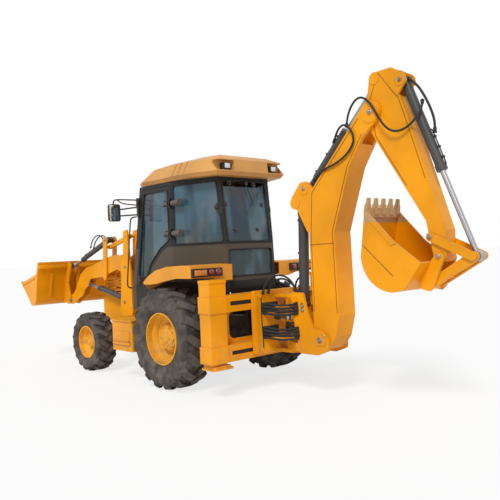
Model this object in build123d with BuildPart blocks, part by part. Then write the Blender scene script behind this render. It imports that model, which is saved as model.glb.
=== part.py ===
"""Backhoe loader: a four-wheeled machine with a front loader and a side-shift digging arm at the rear.

Frame: X forward, Y to the machine's left, Z up, in millimetres. The origin is on the ground, on the
centre line, under the middle of the overall length. Side views are drawn on planes whose x runs
forward from the rear axle and whose y runs up from the ground.
"""
from build123d import *
from math import atan2, cos, degrees, hypot, radians, sin
import os

os.makedirs("parts", exist_ok=True)

# Overall places
REAR_AXLE_X = -200.0
WHEELBASE = 2140.0
RUN = 0.3            # gap between pieces that turn or slide on each other
SIDE_GAP = 3.0       # gap beside the eyes of cylinders
CLEAR = 5.0          # gap between pieces that pass each other

# Wheels: radius to the lug tips, width, centre from the middle plane, rim and hub radius
REAR_R = 665.0
REAR_W = 480.0
REAR_Y = 895.0
REAR_RIM_R = 335.0
REAR_HUB_R = 168.0
REAR_LUG = 32.0
FRONT_R = 455.0
FRONT_W = 345.0
FRONT_Y = 878.0
FRONT_RIM_R = 245.0
FRONT_HUB_R = 105.0
FRONT_LUG = 20.0
RIM_SHARE = 0.72     # rim width against tyre width
DISC_SHARE = 0.30    # wheel disc thickness against rim width

# Steering
KINGPIN_Y = 740.0
KINGPIN_R = 22.0

# Chassis
RAIL_Y0 = 250.0
RAIL_Y1 = 340.0
RAIL_Z0 = 780.0
RAIL_Z1 = 930.0
NOSE_X = 2660.0
NOSE_Y = 395.0
ENGINE_Z = 740.0
HOOD_HALF_W = 360.0
HOOD_Z = 1100.0
CAB_Z = 960.0
CAB_STEP_Z = 1380.0
CAB_STEP_X = 690.0
TOWER_T = 26.0
TOWER_GAP = 7.0

# Loader linkage in side view, from the rear axle
ARM_Y = 500.0
ARM_T = 134.0
ARM_PLATE = 20.0
ARM_PIVOT = (1600.0, 1600.0)
LEVER_PIN = (2240.0, 1450.0)
LEVER_RISE = (-50.0, 590.0)
LINK_SHARE = 0.80
BUCKET_PIN = (3480.0, 1045.0)
LIFT_EYE = (2960.0, 1330.0)
LIFT_BASE = (1640.0, 1060.0)
LEVER_TOP = (LEVER_PIN[0] + LEVER_RISE[0], LEVER_PIN[1] + LEVER_RISE[1])
LINK_PIN = (LEVER_PIN[0] + LINK_SHARE * LEVER_RISE[0], LEVER_PIN[1] + LINK_SHARE * LEVER_RISE[1])
TOWER_PIN = (ARM_PIVOT[0] + LINK_SHARE * LEVER_RISE[0], ARM_PIVOT[1] + LINK_SHARE * LEVER_RISE[1])
TILT_EYE = (BUCKET_PIN[0] + LEVER_RISE[0], BUCKET_PIN[1] + LEVER_RISE[1])
LOADER_PIN_R = 25.0
LINK_PIN_R = 18.0

# Front bucket in side view
BUCKET_HALF_W = 1120.0
BUCKET_EDGE = (4310.0, 1380.0)
BUCKET_LIP = (3560.0, 1720.0)
BUCKET_WALL = 18.0

# Rear slide frame
SLIDE_X0 = -1090.0
SLIDE_X1 = -890.0
SLIDE_HALF_W = 1115.0
LEG_W = 250.0
LEG_Z0 = 440.0
LEG_Z1 = 1430.0
UPPER_RAIL_Z = (1035.0, 1235.0)
LOWER_RAIL_Z = (440.0, 640.0)
RAIL_SLOT = 50.0
LEG_WALL = 16.0
PAD_Z = 368.0
PAD_T = 45.0

# Side-shift carriage, swing post and swing cylinders
CARRIAGE_HALF_W = 470.0
CARRIAGE_T = 60.0
CARRIAGE_X1 = SLIDE_X0 - CLEAR
CARRIAGE_X0 = CARRIAGE_X1 - CARRIAGE_T
CARRIAGE_Z = (470.0, 1260.0)
KINGPOST_X = -1370.0
KINGPOST_R = 45.0
LUG_R = 105.0
LUG_T = 45.0
UPPER_LUG_Z = (1060.0, 1160.0)
LOWER_LUG_Z = (520.0, 620.0)
SWING_HALF_W = 185.0
SWING_EAR_Y = 100.0
SWING_ROWS = (("left", 1, 915.0), ("right", -1, 785.0))     # name, side, height
SWING_BARREL_R = 42.0
SWING_BARREL_X = (-1205.0, -898.0)
SWING_ROD_R = 20.0
SWING_EYE_R = 38.0
SWING_EYE_H = 50.0

# Digging arm in side view, from the rear axle
BOOM_FOOT = (-1950.0, 680.0)
BOOM_CYL_BASE = (-1560.0, 1085.0)
BOOM_CYL_EYE = (-1610.0, 2310.0)
DIPPER_CYL_BASE = (-1760.0, 2470.0)
BOOM_TIP = (-2760.0, 3190.0)
DIPPER_EYE = (-2800.0, 3545.0)
BUCKET_CYL_BASE = (-3120.0, 3465.0)
GUIDE_PIN = (-3400.0, 1815.0)
DIG_PIN = (-3490.0, 1620.0)
LINK_EYE = (-3840.0, 1610.0)
DIG_LINK_PIN = (-3360.0, 1335.0)
BOOM_HALF_W = 145.0
DIPPER_HALF_W = 95.0
BOOM_CHEEK = 40.0
DIPPER_CHEEK = 22.0
DIG_PIN_R = 28.0
GUIDE_T = 22.0
EAR_T = 28.0
DIG_HALF_W = 300.0


def side(x=0.0, z=0.0, y=0.0):
    """Side view plane through a point given from the rear axle, its x forward and its y up."""
    return Plane(origin=(REAR_AXLE_X + x, y, z), x_dir=(1, 0, 0), z_dir=(0, -1, 0))


def plan(z, x=0.0, y=0.0):
    """Level plane at a height, its x forward from the rear axle and its y to the left."""
    return Plane(origin=(REAR_AXLE_X + x, y, z), x_dir=(1, 0, 0), z_dir=(0, 0, 1))


def cross(x, z=0.0):
    """Upright plane across the machine, its x to the left and its y up."""
    return Plane(origin=(REAR_AXLE_X + x, 0, z), x_dir=(0, 1, 0), z_dir=(1, 0, 0))


def save(builder, label):
    """Labels a finished piece and writes it."""
    builder.part.label = label
    export_step(builder.part, f"parts/{label}.step")


def outline(points):
    """Polygon in the sketch that is open, its corners as given."""
    Polygon(*points, align=None)


def bar(start, end, radius):
    """Round-ended bar face from one point to another, in the sketch that is open."""
    length = hypot(end[0] - start[0], end[1] - start[1])
    angle = degrees(atan2(end[1] - start[1], end[0] - start[0]))
    middle = ((start[0] + end[0]) / 2, (start[1] + end[1]) / 2)
    with Locations(Location((middle[0], middle[1], 0), (0, 0, angle))):
        SlotCenterToCenter(length, 2 * radius)


def along(start, end, y):
    """Plane at a side view point, its z running towards another point."""
    direction = (end[0] - start[0], 0, end[1] - start[1])
    return Plane(origin=(REAR_AXLE_X + start[0], y, start[1]), x_dir=(0, 1, 0), z_dir=direction)


def plate(points, y0, y1, mode=Mode.ADD):
    """Plate with a side view outline, between two distances from the middle."""
    with BuildSketch(side(y=max(y0, y1))) as profile:
        outline(points)
    extrude(profile.sketch, amount=abs(y1 - y0), mode=mode)


def slab(points, z0, z1, mode=Mode.ADD):
    """Level plate with an outline seen from above, x from the rear axle, between two heights."""
    with BuildSketch(plan(z0)) as profile:
        outline(points)
    extrude(profile.sketch, amount=z1 - z0, mode=mode)


def grown(points, distance):
    """Closed outline, given anticlockwise, moved outwards by a distance."""
    result = []
    count = len(points)
    for n in range(count):
        x0, z0 = points[n - 1]
        x1, z1 = points[n]
        x2, z2 = points[(n + 1) % count]
        before = hypot(x1 - x0, z1 - z0)
        after = hypot(x2 - x1, z2 - z1)
        ax, az = (z1 - z0) / before, (x0 - x1) / before
        bx, bz = (z2 - z1) / after, (x1 - x2) / after
        share = distance / (1 + ax * bx + az * bz)
        result.append((x1 + share * (ax + bx), z1 + share * (az + bz)))
    return result


def strip(points, wall):
    """Closed outline of an open line of points with a wall on its left side."""
    inner = []
    last = len(points) - 1
    for n, (x, z) in enumerate(points):
        x0, z0 = points[max(n - 1, 0)]
        x2, z2 = points[min(n + 1, last)]
        ahead = (x2 - x, z2 - z) if n < last else (x - x0, z - z0)
        behind = (x - x0, z - z0) if n > 0 else ahead
        before = hypot(*behind)
        after = hypot(*ahead)
        ax, az = -behind[1] / before, behind[0] / before
        bx, bz = -ahead[1] / after, ahead[0] / after
        share = wall / (1 + ax * bx + az * bz)
        inner.append((x + share * (ax + bx), z + share * (az + bz)))
    return points + inner[::-1]


def rounded_plate(points, corner, y0, y1, mode=Mode.ADD):
    """Plate with a side view outline whose corners are rounded."""
    with BuildSketch(side(y=max(y0, y1))) as profile:
        outline(points)
        fillet(profile.vertices(), corner)
    extrude(profile.sketch, amount=abs(y1 - y0), mode=mode)


def disc(spot, radius, y0, y1, mode=Mode.ADD):
    """Disc or hole across the machine at a side view point."""
    with BuildSketch(side(spot[0], spot[1], max(y0, y1))) as profile:
        Circle(radius)
    extrude(profile.sketch, amount=abs(y1 - y0), mode=mode)


def block(x0, x1, y0, y1, z0, z1, mode=Mode.ADD):
    """Box between limits, x from the rear axle."""
    with BuildSketch(plan(z0)) as profile:
        with Locations(((x0 + x1) / 2, (y0 + y1) / 2)):
            Rectangle(abs(x1 - x0), abs(y1 - y0))
    extrude(profile.sketch, amount=z1 - z0, mode=mode)


def pad(x0, x1, y0, y1, z0, z1, corner, mode=Mode.ADD):
    """Box between limits with its upright edges rounded."""
    with BuildSketch(plan(z0)) as profile:
        with Locations(((x0 + x1) / 2, (y0 + y1) / 2)):
            RectangleRounded(abs(x1 - x0), abs(y1 - y0), corner)
    extrude(profile.sketch, amount=z1 - z0, mode=mode)


def post(spot, y, z0, z1, radius, mode=Mode.ADD):
    """Upright round post or hole at a distance from the rear axle and from the middle."""
    with BuildSketch(plan(z0, spot, y)) as profile:
        Circle(radius)
    extrude(profile.sketch, amount=z1 - z0, mode=mode)


def shaft(x0, x1, y, z, radius, mode=Mode.ADD):
    """Round bar or hole along the machine between two distances from the rear axle."""
    with BuildSketch(cross(x0, z)) as profile:
        with Locations((y, 0)):
            Circle(radius)
    extrude(profile.sketch, amount=x1 - x0, mode=mode)


def rod(start, end, radius):
    """Round bar between two points, x from the rear axle."""
    first = Vector(REAR_AXLE_X + start[0], start[1], start[2])
    reach = Vector(end[0] - start[0], end[1] - start[1], end[2] - start[2])
    with BuildSketch(Plane(origin=first, z_dir=reach)) as profile:
        Circle(radius)
    extrude(profile.sketch, amount=reach.length)


# Hydraulic cylinders: each is a barrel with a base eye and a rod with a piston and a rod eye.
RAM_WALL = 9.0
EYE_WALL = 24.0
EYE_SINK = 10.0      # how far a tube or a rod runs into its eye
BORE_START = 12.0    # solid end of the tube beyond the base eye
GLAND_LEN = 60.0
GLAND_LIP = 8.0
PISTON_LEN = 45.0


def ram(label, base, eye, ys, barrel_r, rod_r, tube_end, piston_at, eye_w, pin_r):
    """Barrels and rods of like cylinders side by side, drawn in side view between two pins."""
    length = hypot(eye[0] - base[0], eye[1] - base[1])
    eye_r = pin_r + EYE_WALL
    bore_r = barrel_r - RAM_WALL
    bore_from = eye_r + BORE_START
    tube_from = eye_r - EYE_SINK
    with BuildPart() as barrel:
        for y in ys:
            frame = along(base, eye, y)
            with BuildSketch(frame.offset(tube_from)):
                Circle(barrel_r)
            extrude(amount=tube_end - tube_from)
            with BuildSketch(frame.offset(tube_end - GLAND_LEN)):
                Circle(barrel_r + GLAND_LIP)
            extrude(amount=GLAND_LEN)
            disc(base, eye_r, y - eye_w / 2, y + eye_w / 2)
            with BuildSketch(frame.offset(bore_from)):
                Circle(bore_r)
            extrude(amount=tube_end - GLAND_LEN / 2 - bore_from, mode=Mode.SUBTRACT)
            with BuildSketch(frame.offset(tube_end - GLAND_LEN)):
                Circle(rod_r + RUN)
            extrude(amount=GLAND_LEN, mode=Mode.SUBTRACT)
            disc(base, pin_r + RUN, y - eye_w, y + eye_w, mode=Mode.SUBTRACT)
    save(barrel, label + "_barrel")
    with BuildPart() as piston_rod:
        for y in ys:
            frame = along(base, eye, y)
            disc(eye, eye_r, y - eye_w / 2, y + eye_w / 2)
            with BuildSketch(frame.offset(piston_at)):
                Circle(bore_r - RUN)
            extrude(amount=PISTON_LEN)
            with BuildSketch(frame.offset(piston_at)):
                Circle(rod_r)
            extrude(amount=length - tube_from - piston_at)
    save(piston_rod, label + "_rod")


# Wheels
LUG_SINK = 0.10      # how deep a lug is rooted in the casing, against the wheel radius
LUG_OUT = 0.47       # middle of a lug row, against half the width
LUG_LEN = 0.98       # length of a lug, against half the width


def tyre(label, x, radius, width, centre_y, rim_r, lug, count, lug_w, skew):
    """Left and right tyre turned about the axle, with slanting lugs in two staggered rows."""
    half = width / 2
    bead = RIM_SHARE * half
    carcass = radius - lug
    wall = carcass - rim_r
    root = LUG_SINK * radius
    centre = (REAR_AXLE_X + x, centre_y, radius)
    across = Plane(origin=centre, x_dir=(0, 1, 0), z_dir=(-1, 0, 0))
    axle = Axis(centre, (0, 1, 0))
    half_section = [
        (bead, rim_r),
        (bead, rim_r + 12.0),
        (0.90 * half, rim_r + 0.22 * wall),
        (half, rim_r + 0.50 * wall),
        (0.96 * half, rim_r + 0.76 * wall),
        (0.82 * half, carcass - 0.04 * radius),
        (0.45 * half, carcass),
    ]
    half_reach = [
        (bead, rim_r),
        (1.01 * half, rim_r),
        (1.01 * half, rim_r + 0.74 * wall),
        (0.93 * half, radius - 0.075 * radius),
        (0.80 * half, radius - 0.025 * radius),
        (0.45 * half, radius),
    ]
    # Lug planes look outwards from the axle, the two rows half a pitch apart.
    rows = {-1: [], 1: []}
    for row in rows:
        for n in range(count):
            angle = radians((n + (0.5 if row > 0 else 0.0)) * 360.0 / count)
            spot = Plane(origin=centre, x_dir=(0, 1, 0), z_dir=(cos(angle), 0, sin(angle)))
            rows[row].append(spot.offset(carcass - root))
    with BuildPart() as body:
        with BuildSketch(across):
            outline(mirrored(half_section))
        revolve(axis=axle)
        for row, planes in rows.items():
            with BuildSketch(*planes):
                with Locations(Location((row * LUG_OUT * half, 0, 0), (0, 0, -row * skew))):
                    Rectangle(LUG_LEN * half, lug_w)
            extrude(amount=lug + root)
        with BuildSketch(across) as reach:
            outline(mirrored(half_reach))
        revolve(reach.sketch, axis=axle, mode=Mode.INTERSECT)
    save(body, label + "_left")
    with BuildPart() as right:
        add(body.part)
        mirror(about=Plane.XZ, mode=Mode.REPLACE)
    save(right, label + "_right")


def mirrored(half_section):
    """Closed section from its right half, whose first and last points lie nearest the middle."""
    return half_section + [(-y, r) for y, r in reversed(half_section)]


def rim(label, x, radius, width, centre_y, rim_r, hub_r, hub_out):
    """Left and right rim with its two flanges, the dished disc and the hub."""
    half = RIM_SHARE * width / 2
    drop = 0.16 * rim_r
    wall = 12.0
    flange = 14.0
    lip = 6.0
    ring = 0.10 * rim_r
    face = DISC_SHARE * half
    centre = (REAR_AXLE_X + x, centre_y, radius)
    barrel = [
        (-half - RUN, rim_r + lip),
        (-half - flange, rim_r + lip),
        (-half - flange, rim_r - wall),
        (-face, rim_r - drop - wall),
        (face, rim_r - drop - wall),
        (0.55 * half, rim_r - 0.6 * drop - wall),
        (0.60 * half, rim_r - wall),
        (half + flange, rim_r - wall),
        (half + flange, rim_r + lip),
        (half + RUN, rim_r + lip),
        (half + RUN, rim_r - RUN),
        (-half - RUN, rim_r - RUN),
    ]
    dish = [
        (-face, 0.0),
        (hub_out, 0.0),
        (hub_out, 0.80 * hub_r),
        (hub_out - 14.0, 0.80 * hub_r),
        (hub_out - 14.0, hub_r - 10.0),
        (hub_out - 30.0, hub_r),
        (0.05 * half, hub_r + ring),
        (0.8 * face, rim_r - drop - wall + 4.0),
        (0.3 * face, rim_r - drop - wall + 4.0),
        (-face, hub_r + ring),
    ]
    with BuildPart() as body:
        with BuildSketch(Plane(origin=centre, x_dir=(0, 1, 0), z_dir=(-1, 0, 0))):
            outline(barrel)
            outline(dish)
        revolve(axis=Axis(centre, (0, 1, 0)))
    save(body, label + "_left")
    with BuildPart() as right:
        add(body.part)
        mirror(about=Plane.XZ, mode=Mode.REPLACE)
    save(right, label + "_right")


tyre("tyre_rear", 0.0, REAR_R, REAR_W, REAR_Y, REAR_RIM_R, REAR_LUG, 17, 98.0, 36.0)
rim("rim_rear", 0.0, REAR_R, REAR_W, REAR_Y, REAR_RIM_R, REAR_HUB_R, 95.0)
tyre("tyre_front", WHEELBASE, FRONT_R, FRONT_W, FRONT_Y, FRONT_RIM_R, FRONT_LUG, 17, 62.0, 32.0)
rim("rim_front", WHEELBASE, FRONT_R, FRONT_W, FRONT_Y, FRONT_RIM_R, FRONT_HUB_R, 70.0)


# Front axle: a beam between the two kingpins, carried on a pivot pin at its middle
BEAM_H = 130.0
BEAM_D = 120.0
FORK_ARM = 26.0
FORK_HALF_D = 45.0
FORK_REACH = 75.0
FORK_WEB = 30.0
FORK_TIP = 25.0
KNUCKLE_H = 130.0
KNUCKLE_R = 48.0
STUB_R = 88.0
PIVOT_R = 35.0
PIVOT_BOSS_R = 85.0
PIVOT_Z = FRONT_R + 30.0
BOLSTER_X = 95.0
BOLSTER_T = 35.0
with BuildPart() as front_axle:
    fork_low = FRONT_R - KNUCKLE_H / 2 - RUN - FORK_ARM
    fork_high = FRONT_R + KNUCKLE_H / 2 + RUN
    beam_end = KINGPIN_Y - FORK_REACH
    block(WHEELBASE - BEAM_D / 2, WHEELBASE + BEAM_D / 2, -beam_end, beam_end,
          FRONT_R - BEAM_H / 2, FRONT_R + BEAM_H / 2)
    for sign in (1, -1):
        for z in (fork_low, fork_high):
            block(WHEELBASE - FORK_HALF_D, WHEELBASE + FORK_HALF_D, sign * beam_end,
                  sign * (KINGPIN_Y + FORK_TIP), z, z + FORK_ARM)
        block(WHEELBASE - FORK_HALF_D, WHEELBASE + FORK_HALF_D, sign * beam_end,
              sign * (beam_end - FORK_WEB), fork_low, fork_high + FORK_ARM)
        post(WHEELBASE, sign * KINGPIN_Y, fork_low, fork_high + FORK_ARM, KINGPIN_R)
    shaft(WHEELBASE - BOLSTER_X + CLEAR, WHEELBASE + BOLSTER_X - CLEAR, 0, PIVOT_Z, PIVOT_BOSS_R)
    pin_end = BOLSTER_X + BOLSTER_T + 10.0
    shaft(WHEELBASE - pin_end, WHEELBASE + pin_end, 0, PIVOT_Z, PIVOT_R)
save(front_axle, "front_axle")

# Steering knuckles with their stub axles and steering arms
HUB_FACE_Y = FRONT_Y - DISC_SHARE * RIM_SHARE * FRONT_W / 2 - RUN
STEER_ARM = (30.0, 170.0)
for name, sign in (("left", 1), ("right", -1)):
    knuckle_low = FRONT_R - KNUCKLE_H / 2
    with BuildPart() as knuckle:
        post(WHEELBASE, sign * KINGPIN_Y, knuckle_low, knuckle_low + KNUCKLE_H, KNUCKLE_R)
        block(WHEELBASE - KNUCKLE_R, WHEELBASE + KNUCKLE_R, sign * KINGPIN_Y,
              sign * (KINGPIN_Y + 60.0), knuckle_low, knuckle_low + KNUCKLE_H)
        disc((WHEELBASE, FRONT_R), STUB_R, sign * (KINGPIN_Y + 50.0), sign * HUB_FACE_Y)
        block(WHEELBASE - STEER_ARM[1], WHEELBASE - STEER_ARM[0], sign * (KINGPIN_Y - KINGPIN_R),
              sign * (KINGPIN_Y + KINGPIN_R), FRONT_R - 20.0, FRONT_R + 20.0)
        post(WHEELBASE, sign * KINGPIN_Y, knuckle_low, knuckle_low + KNUCKLE_H,
             KINGPIN_R + RUN, mode=Mode.SUBTRACT)
    save(knuckle, "knuckle_" + name)

# Rear axle: housing with its differential bulge, drums and the pads under the rails
REAR_FACE_Y = REAR_Y - DISC_SHARE * RIM_SHARE * REAR_W / 2 - RUN
AXLE_TUBE_R = 92.0
DRUM_R = 190.0
DRUM_Y = 640.0
AXLE_PAD_X = 110.0
with BuildPart() as rear_axle:
    disc((0, REAR_R), AXLE_TUBE_R, -REAR_FACE_Y, REAR_FACE_Y)
    for sign in (1, -1):
        disc((0, REAR_R), DRUM_R, sign * DRUM_Y, sign * REAR_FACE_Y)
        block(-AXLE_PAD_X, AXLE_PAD_X, sign * RAIL_Y0, sign * RAIL_Y1, REAR_R, RAIL_Z0)
    with BuildSketch(side(0, REAR_R)):
        Circle(215.0)
    extrude(amount=70.0, both=True)
    for sign in (1, -1):
        with BuildSketch(side(0, REAR_R, sign * 70.0).offset(0)) as wide:
            Circle(215.0)
        with BuildSketch(side(0, REAR_R, sign * 190.0)) as narrow:
            Circle(110.0)
        loft([wide.sketch, narrow.sketch])
save(rear_axle, "rear_axle")

# Main frame: rails, nose plates, towers with their forks for the loader arms
ARM_IN = ARM_Y - ARM_T / 2
ARM_OUT = ARM_Y + ARM_T / 2
TOWER = [
    (1430, 880),
    (1800, 880),
    (1740, 1200),
    (1720, 1640),
    (1640, 1760),
    (1615, 2150),
    (1500, 2170),
    (1470, 1800),
    (1440, 1500),
]
TOWER_CORNER = 18.0
NOSE_SIDE = [
    (1700, 940),
    (1700, 1150),
    (2620, 1120),
    (NOSE_X, 1080),
    (NOSE_X, 830),
    (2420, 700),
    (1900, 680),
]
NOSE_PLATE = 30.0
with BuildPart() as main_frame:
    tower_in = ARM_IN - TOWER_GAP - TOWER_T
    tower_out = ARM_OUT + TOWER_GAP
    for sign in (1, -1):
        block(SLIDE_X1 + RUN, 1800, sign * RAIL_Y0, sign * RAIL_Y1, RAIL_Z0, RAIL_Z1)
        for y in (tower_in, tower_out):
            rounded_plate(TOWER, TOWER_CORNER, sign * y, sign * (y + TOWER_T))
        for spot, pin_r in ((ARM_PIVOT, LOADER_PIN_R), (TOWER_PIN, LINK_PIN_R), (LIFT_BASE, LOADER_PIN_R)):
            disc(spot, pin_r, sign * tower_in, sign * (tower_out + TOWER_T + 8.0))
        rounded_plate(NOSE_SIDE, 25.0, sign * NOSE_Y, sign * (NOSE_Y - NOSE_PLATE))
    block(1440, 1790, -(tower_out + TOWER_T), tower_out + TOWER_T, 850, 960)
    block(NOSE_X - 40, NOSE_X, -NOSE_Y, NOSE_Y, 780, 1090)
    block(WHEELBASE - 130, WHEELBASE + 130, -NOSE_Y, NOSE_Y, 690, ENGINE_Z)
    for sign in (1, -1):
        middle = WHEELBASE + sign * (BOLSTER_X + BOLSTER_T / 2)
        block(middle - BOLSTER_T / 2, middle + BOLSTER_T / 2, -110, 110, PIVOT_Z - 70, 700)
        block(1760, NOSE_X - 30, sign * (NOSE_Y - 25), sign * (HOOD_HALF_W - 30), HOOD_Z - 40, HOOD_Z)
        for x, top in ((700, CAB_Z), (1150, CAB_Z), (-450, CAB_STEP_Z)):
            block(x, x + 100, sign * RAIL_Y0, sign * RAIL_Y1, RAIL_Z1 - 5, top)
    pivot_end = BOLSTER_X + BOLSTER_T + 5.0
    shaft(WHEELBASE - pivot_end, WHEELBASE + pivot_end, 0, PIVOT_Z, PIVOT_R + RUN, mode=Mode.SUBTRACT)
    block(SLIDE_X1 + RUN, SLIDE_X1 + 60, -RAIL_Y1, RAIL_Y1, RAIL_Z0 - 200, RAIL_Z1 + 120)
save(main_frame, "main_frame")

# Engine, a plain block on the frame
with BuildPart() as engine_block:
    block(1830, 2500, -240, 240, ENGINE_Z + RUN, 1250)
save(engine_block, "engine_block")

# Hood: a shell over the engine, open below, with a slotted grille in front and louvres beside it
HOOD_WALL = 15.0
HOOD_TOP = 1570.0
HOOD = [
    (-HOOD_HALF_W, HOOD_Z + RUN),
    (HOOD_HALF_W, HOOD_Z + RUN),
    (HOOD_HALF_W, HOOD_TOP - 90),
    (HOOD_HALF_W - 30, HOOD_TOP - 30),
    (HOOD_HALF_W - 90, HOOD_TOP),
    (-HOOD_HALF_W + 90, HOOD_TOP),
    (-HOOD_HALF_W + 30, HOOD_TOP - 30),
    (-HOOD_HALF_W, HOOD_TOP - 90),
]
HOOD_FEET = [(HOOD[0][0] + HOOD_WALL, HOOD_Z - 50), (HOOD[1][0] - HOOD_WALL, HOOD_Z - 50)]
HOOD_IN = HOOD_FEET + grown(HOOD, -HOOD_WALL)[2:]
HOOD_X0 = 1480.0
HOOD_X1 = 2640.0
GRILLE_BARS = 6
GRILLE_SLOT = 26.0
GRILLE_PITCH = 56.0
LOUVRES = 5
LOUVRE_SLOT = 22.0
LOUVRE_PITCH = 60.0
with BuildPart() as hood:
    with BuildSketch(cross(HOOD_X0)):
        outline(HOOD)
    extrude(amount=HOOD_X1 - HOOD_X0)
    with BuildSketch(cross(HOOD_X0 - 10)):
        outline(HOOD_IN)
    extrude(amount=HOOD_X1 - HOOD_X0 + 10 - HOOD_WALL, mode=Mode.SUBTRACT)
    for n in range(GRILLE_BARS):
        z = 1170.0 + n * GRILLE_PITCH
        block(HOOD_X1 - 20, HOOD_X1 + 1, -280, 280, z, z + GRILLE_SLOT, mode=Mode.SUBTRACT)
    for n in range(LOUVRES):
        z = 1180.0 + n * LOUVRE_PITCH
        block(2150, 2540, -HOOD_HALF_W - 1, HOOD_HALF_W + 1, z, z + LOUVRE_SLOT, mode=Mode.SUBTRACT)
save(hood, "hood")

# Rear slide frame: two slotted rails between the stabiliser tubes, with a windowed panel between them
LEG_IN = SLIDE_HALF_W - LEG_W
BAND_T = 12.0
SLOT_DEPTH = 30.0
SLOT_HALF_W = 800.0
PANEL_X = (-960.0, -945.0)
PANEL_WINDOW = (1450.0, 340.0)
PANEL_WINDOW_Z = 862.0
PANEL_CORNER = 90.0
with BuildPart() as slide_frame:
    for sign in (1, -1):
        block(SLIDE_X0, SLIDE_X1, sign * LEG_IN, sign * SLIDE_HALF_W, LEG_Z0, LEG_Z1)
        for low, high in (UPPER_RAIL_Z, LOWER_RAIL_Z):
            block(SLIDE_X0 - BAND_T, SLIDE_X1 + BAND_T, sign * LEG_IN,
                  sign * (SLIDE_HALF_W + BAND_T), low, high)
        block(SLIDE_X0 - BAND_T / 2, SLIDE_X1 + BAND_T / 2, sign * (LEG_IN - BAND_T / 2),
              sign * (SLIDE_HALF_W + BAND_T / 2), LEG_Z1 - 40, LEG_Z1)
    for low, high in (UPPER_RAIL_Z, LOWER_RAIL_Z):
        slot_low = (low + high - RAIL_SLOT) / 2
        block(SLIDE_X0, SLIDE_X1, -LEG_IN - 1, LEG_IN + 1, low, high)
        block(SLIDE_X0 - 1, SLIDE_X0 + SLOT_DEPTH, -SLOT_HALF_W, SLOT_HALF_W, slot_low,
              slot_low + RAIL_SLOT, mode=Mode.SUBTRACT)
    block(PANEL_X[0], PANEL_X[1], -LEG_IN - 1, LEG_IN + 1, LOWER_RAIL_Z[1] - 1, UPPER_RAIL_Z[0] + 1)
    with BuildSketch(cross(PANEL_X[0] - 1)):
        with Locations((0, PANEL_WINDOW_Z)):
            RectangleRounded(*PANEL_WINDOW, PANEL_CORNER)
    extrude(amount=PANEL_X[1] - PANEL_X[0] + 2, mode=Mode.SUBTRACT)
    for sign in (1, -1):
        block(SLIDE_X0 + LEG_WALL, SLIDE_X1 - LEG_WALL, sign * (LEG_IN + LEG_WALL),
              sign * (SLIDE_HALF_W - LEG_WALL), LEG_Z0 - 1, LEG_Z1 - LEG_WALL, mode=Mode.SUBTRACT)
save(slide_frame, "slide_frame")

# Stabiliser legs, each a post inside its tube with a foot of two stacked plates
FOOT_SPAN = (SLIDE_X0 - 40.0, SLIDE_X1 + 20.0, LEG_IN - 60.0, SLIDE_HALF_W + 5.0)
FOOT_STEP = 26.0
FOOT_CORNER = 40.0
LEG_TOP_ROOM = 60.0
for name, sign in (("left", 1), ("right", -1)):
    post_in = LEG_IN + LEG_WALL + RUN
    post_out = SLIDE_HALF_W - LEG_WALL - RUN
    foot_x0, foot_x1, foot_in, foot_out = FOOT_SPAN
    with BuildPart() as stabiliser:
        block(SLIDE_X0 + LEG_WALL + RUN, SLIDE_X1 - LEG_WALL - RUN, sign * post_in, sign * post_out,
              PAD_Z + PAD_T - 1, LEG_Z1 - LEG_WALL - LEG_TOP_ROOM)
        pad(foot_x0, foot_x1, sign * foot_in, sign * foot_out, PAD_Z, PAD_Z + PAD_T / 2, FOOT_CORNER)
        pad(foot_x0 + FOOT_STEP, foot_x1 - FOOT_STEP, sign * (foot_in + FOOT_STEP),
            sign * (foot_out - FOOT_STEP), PAD_Z + PAD_T / 2 - 1, PAD_Z + PAD_T, FOOT_CORNER / 2)
    save(stabiliser, "stabiliser_" + name)

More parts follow.
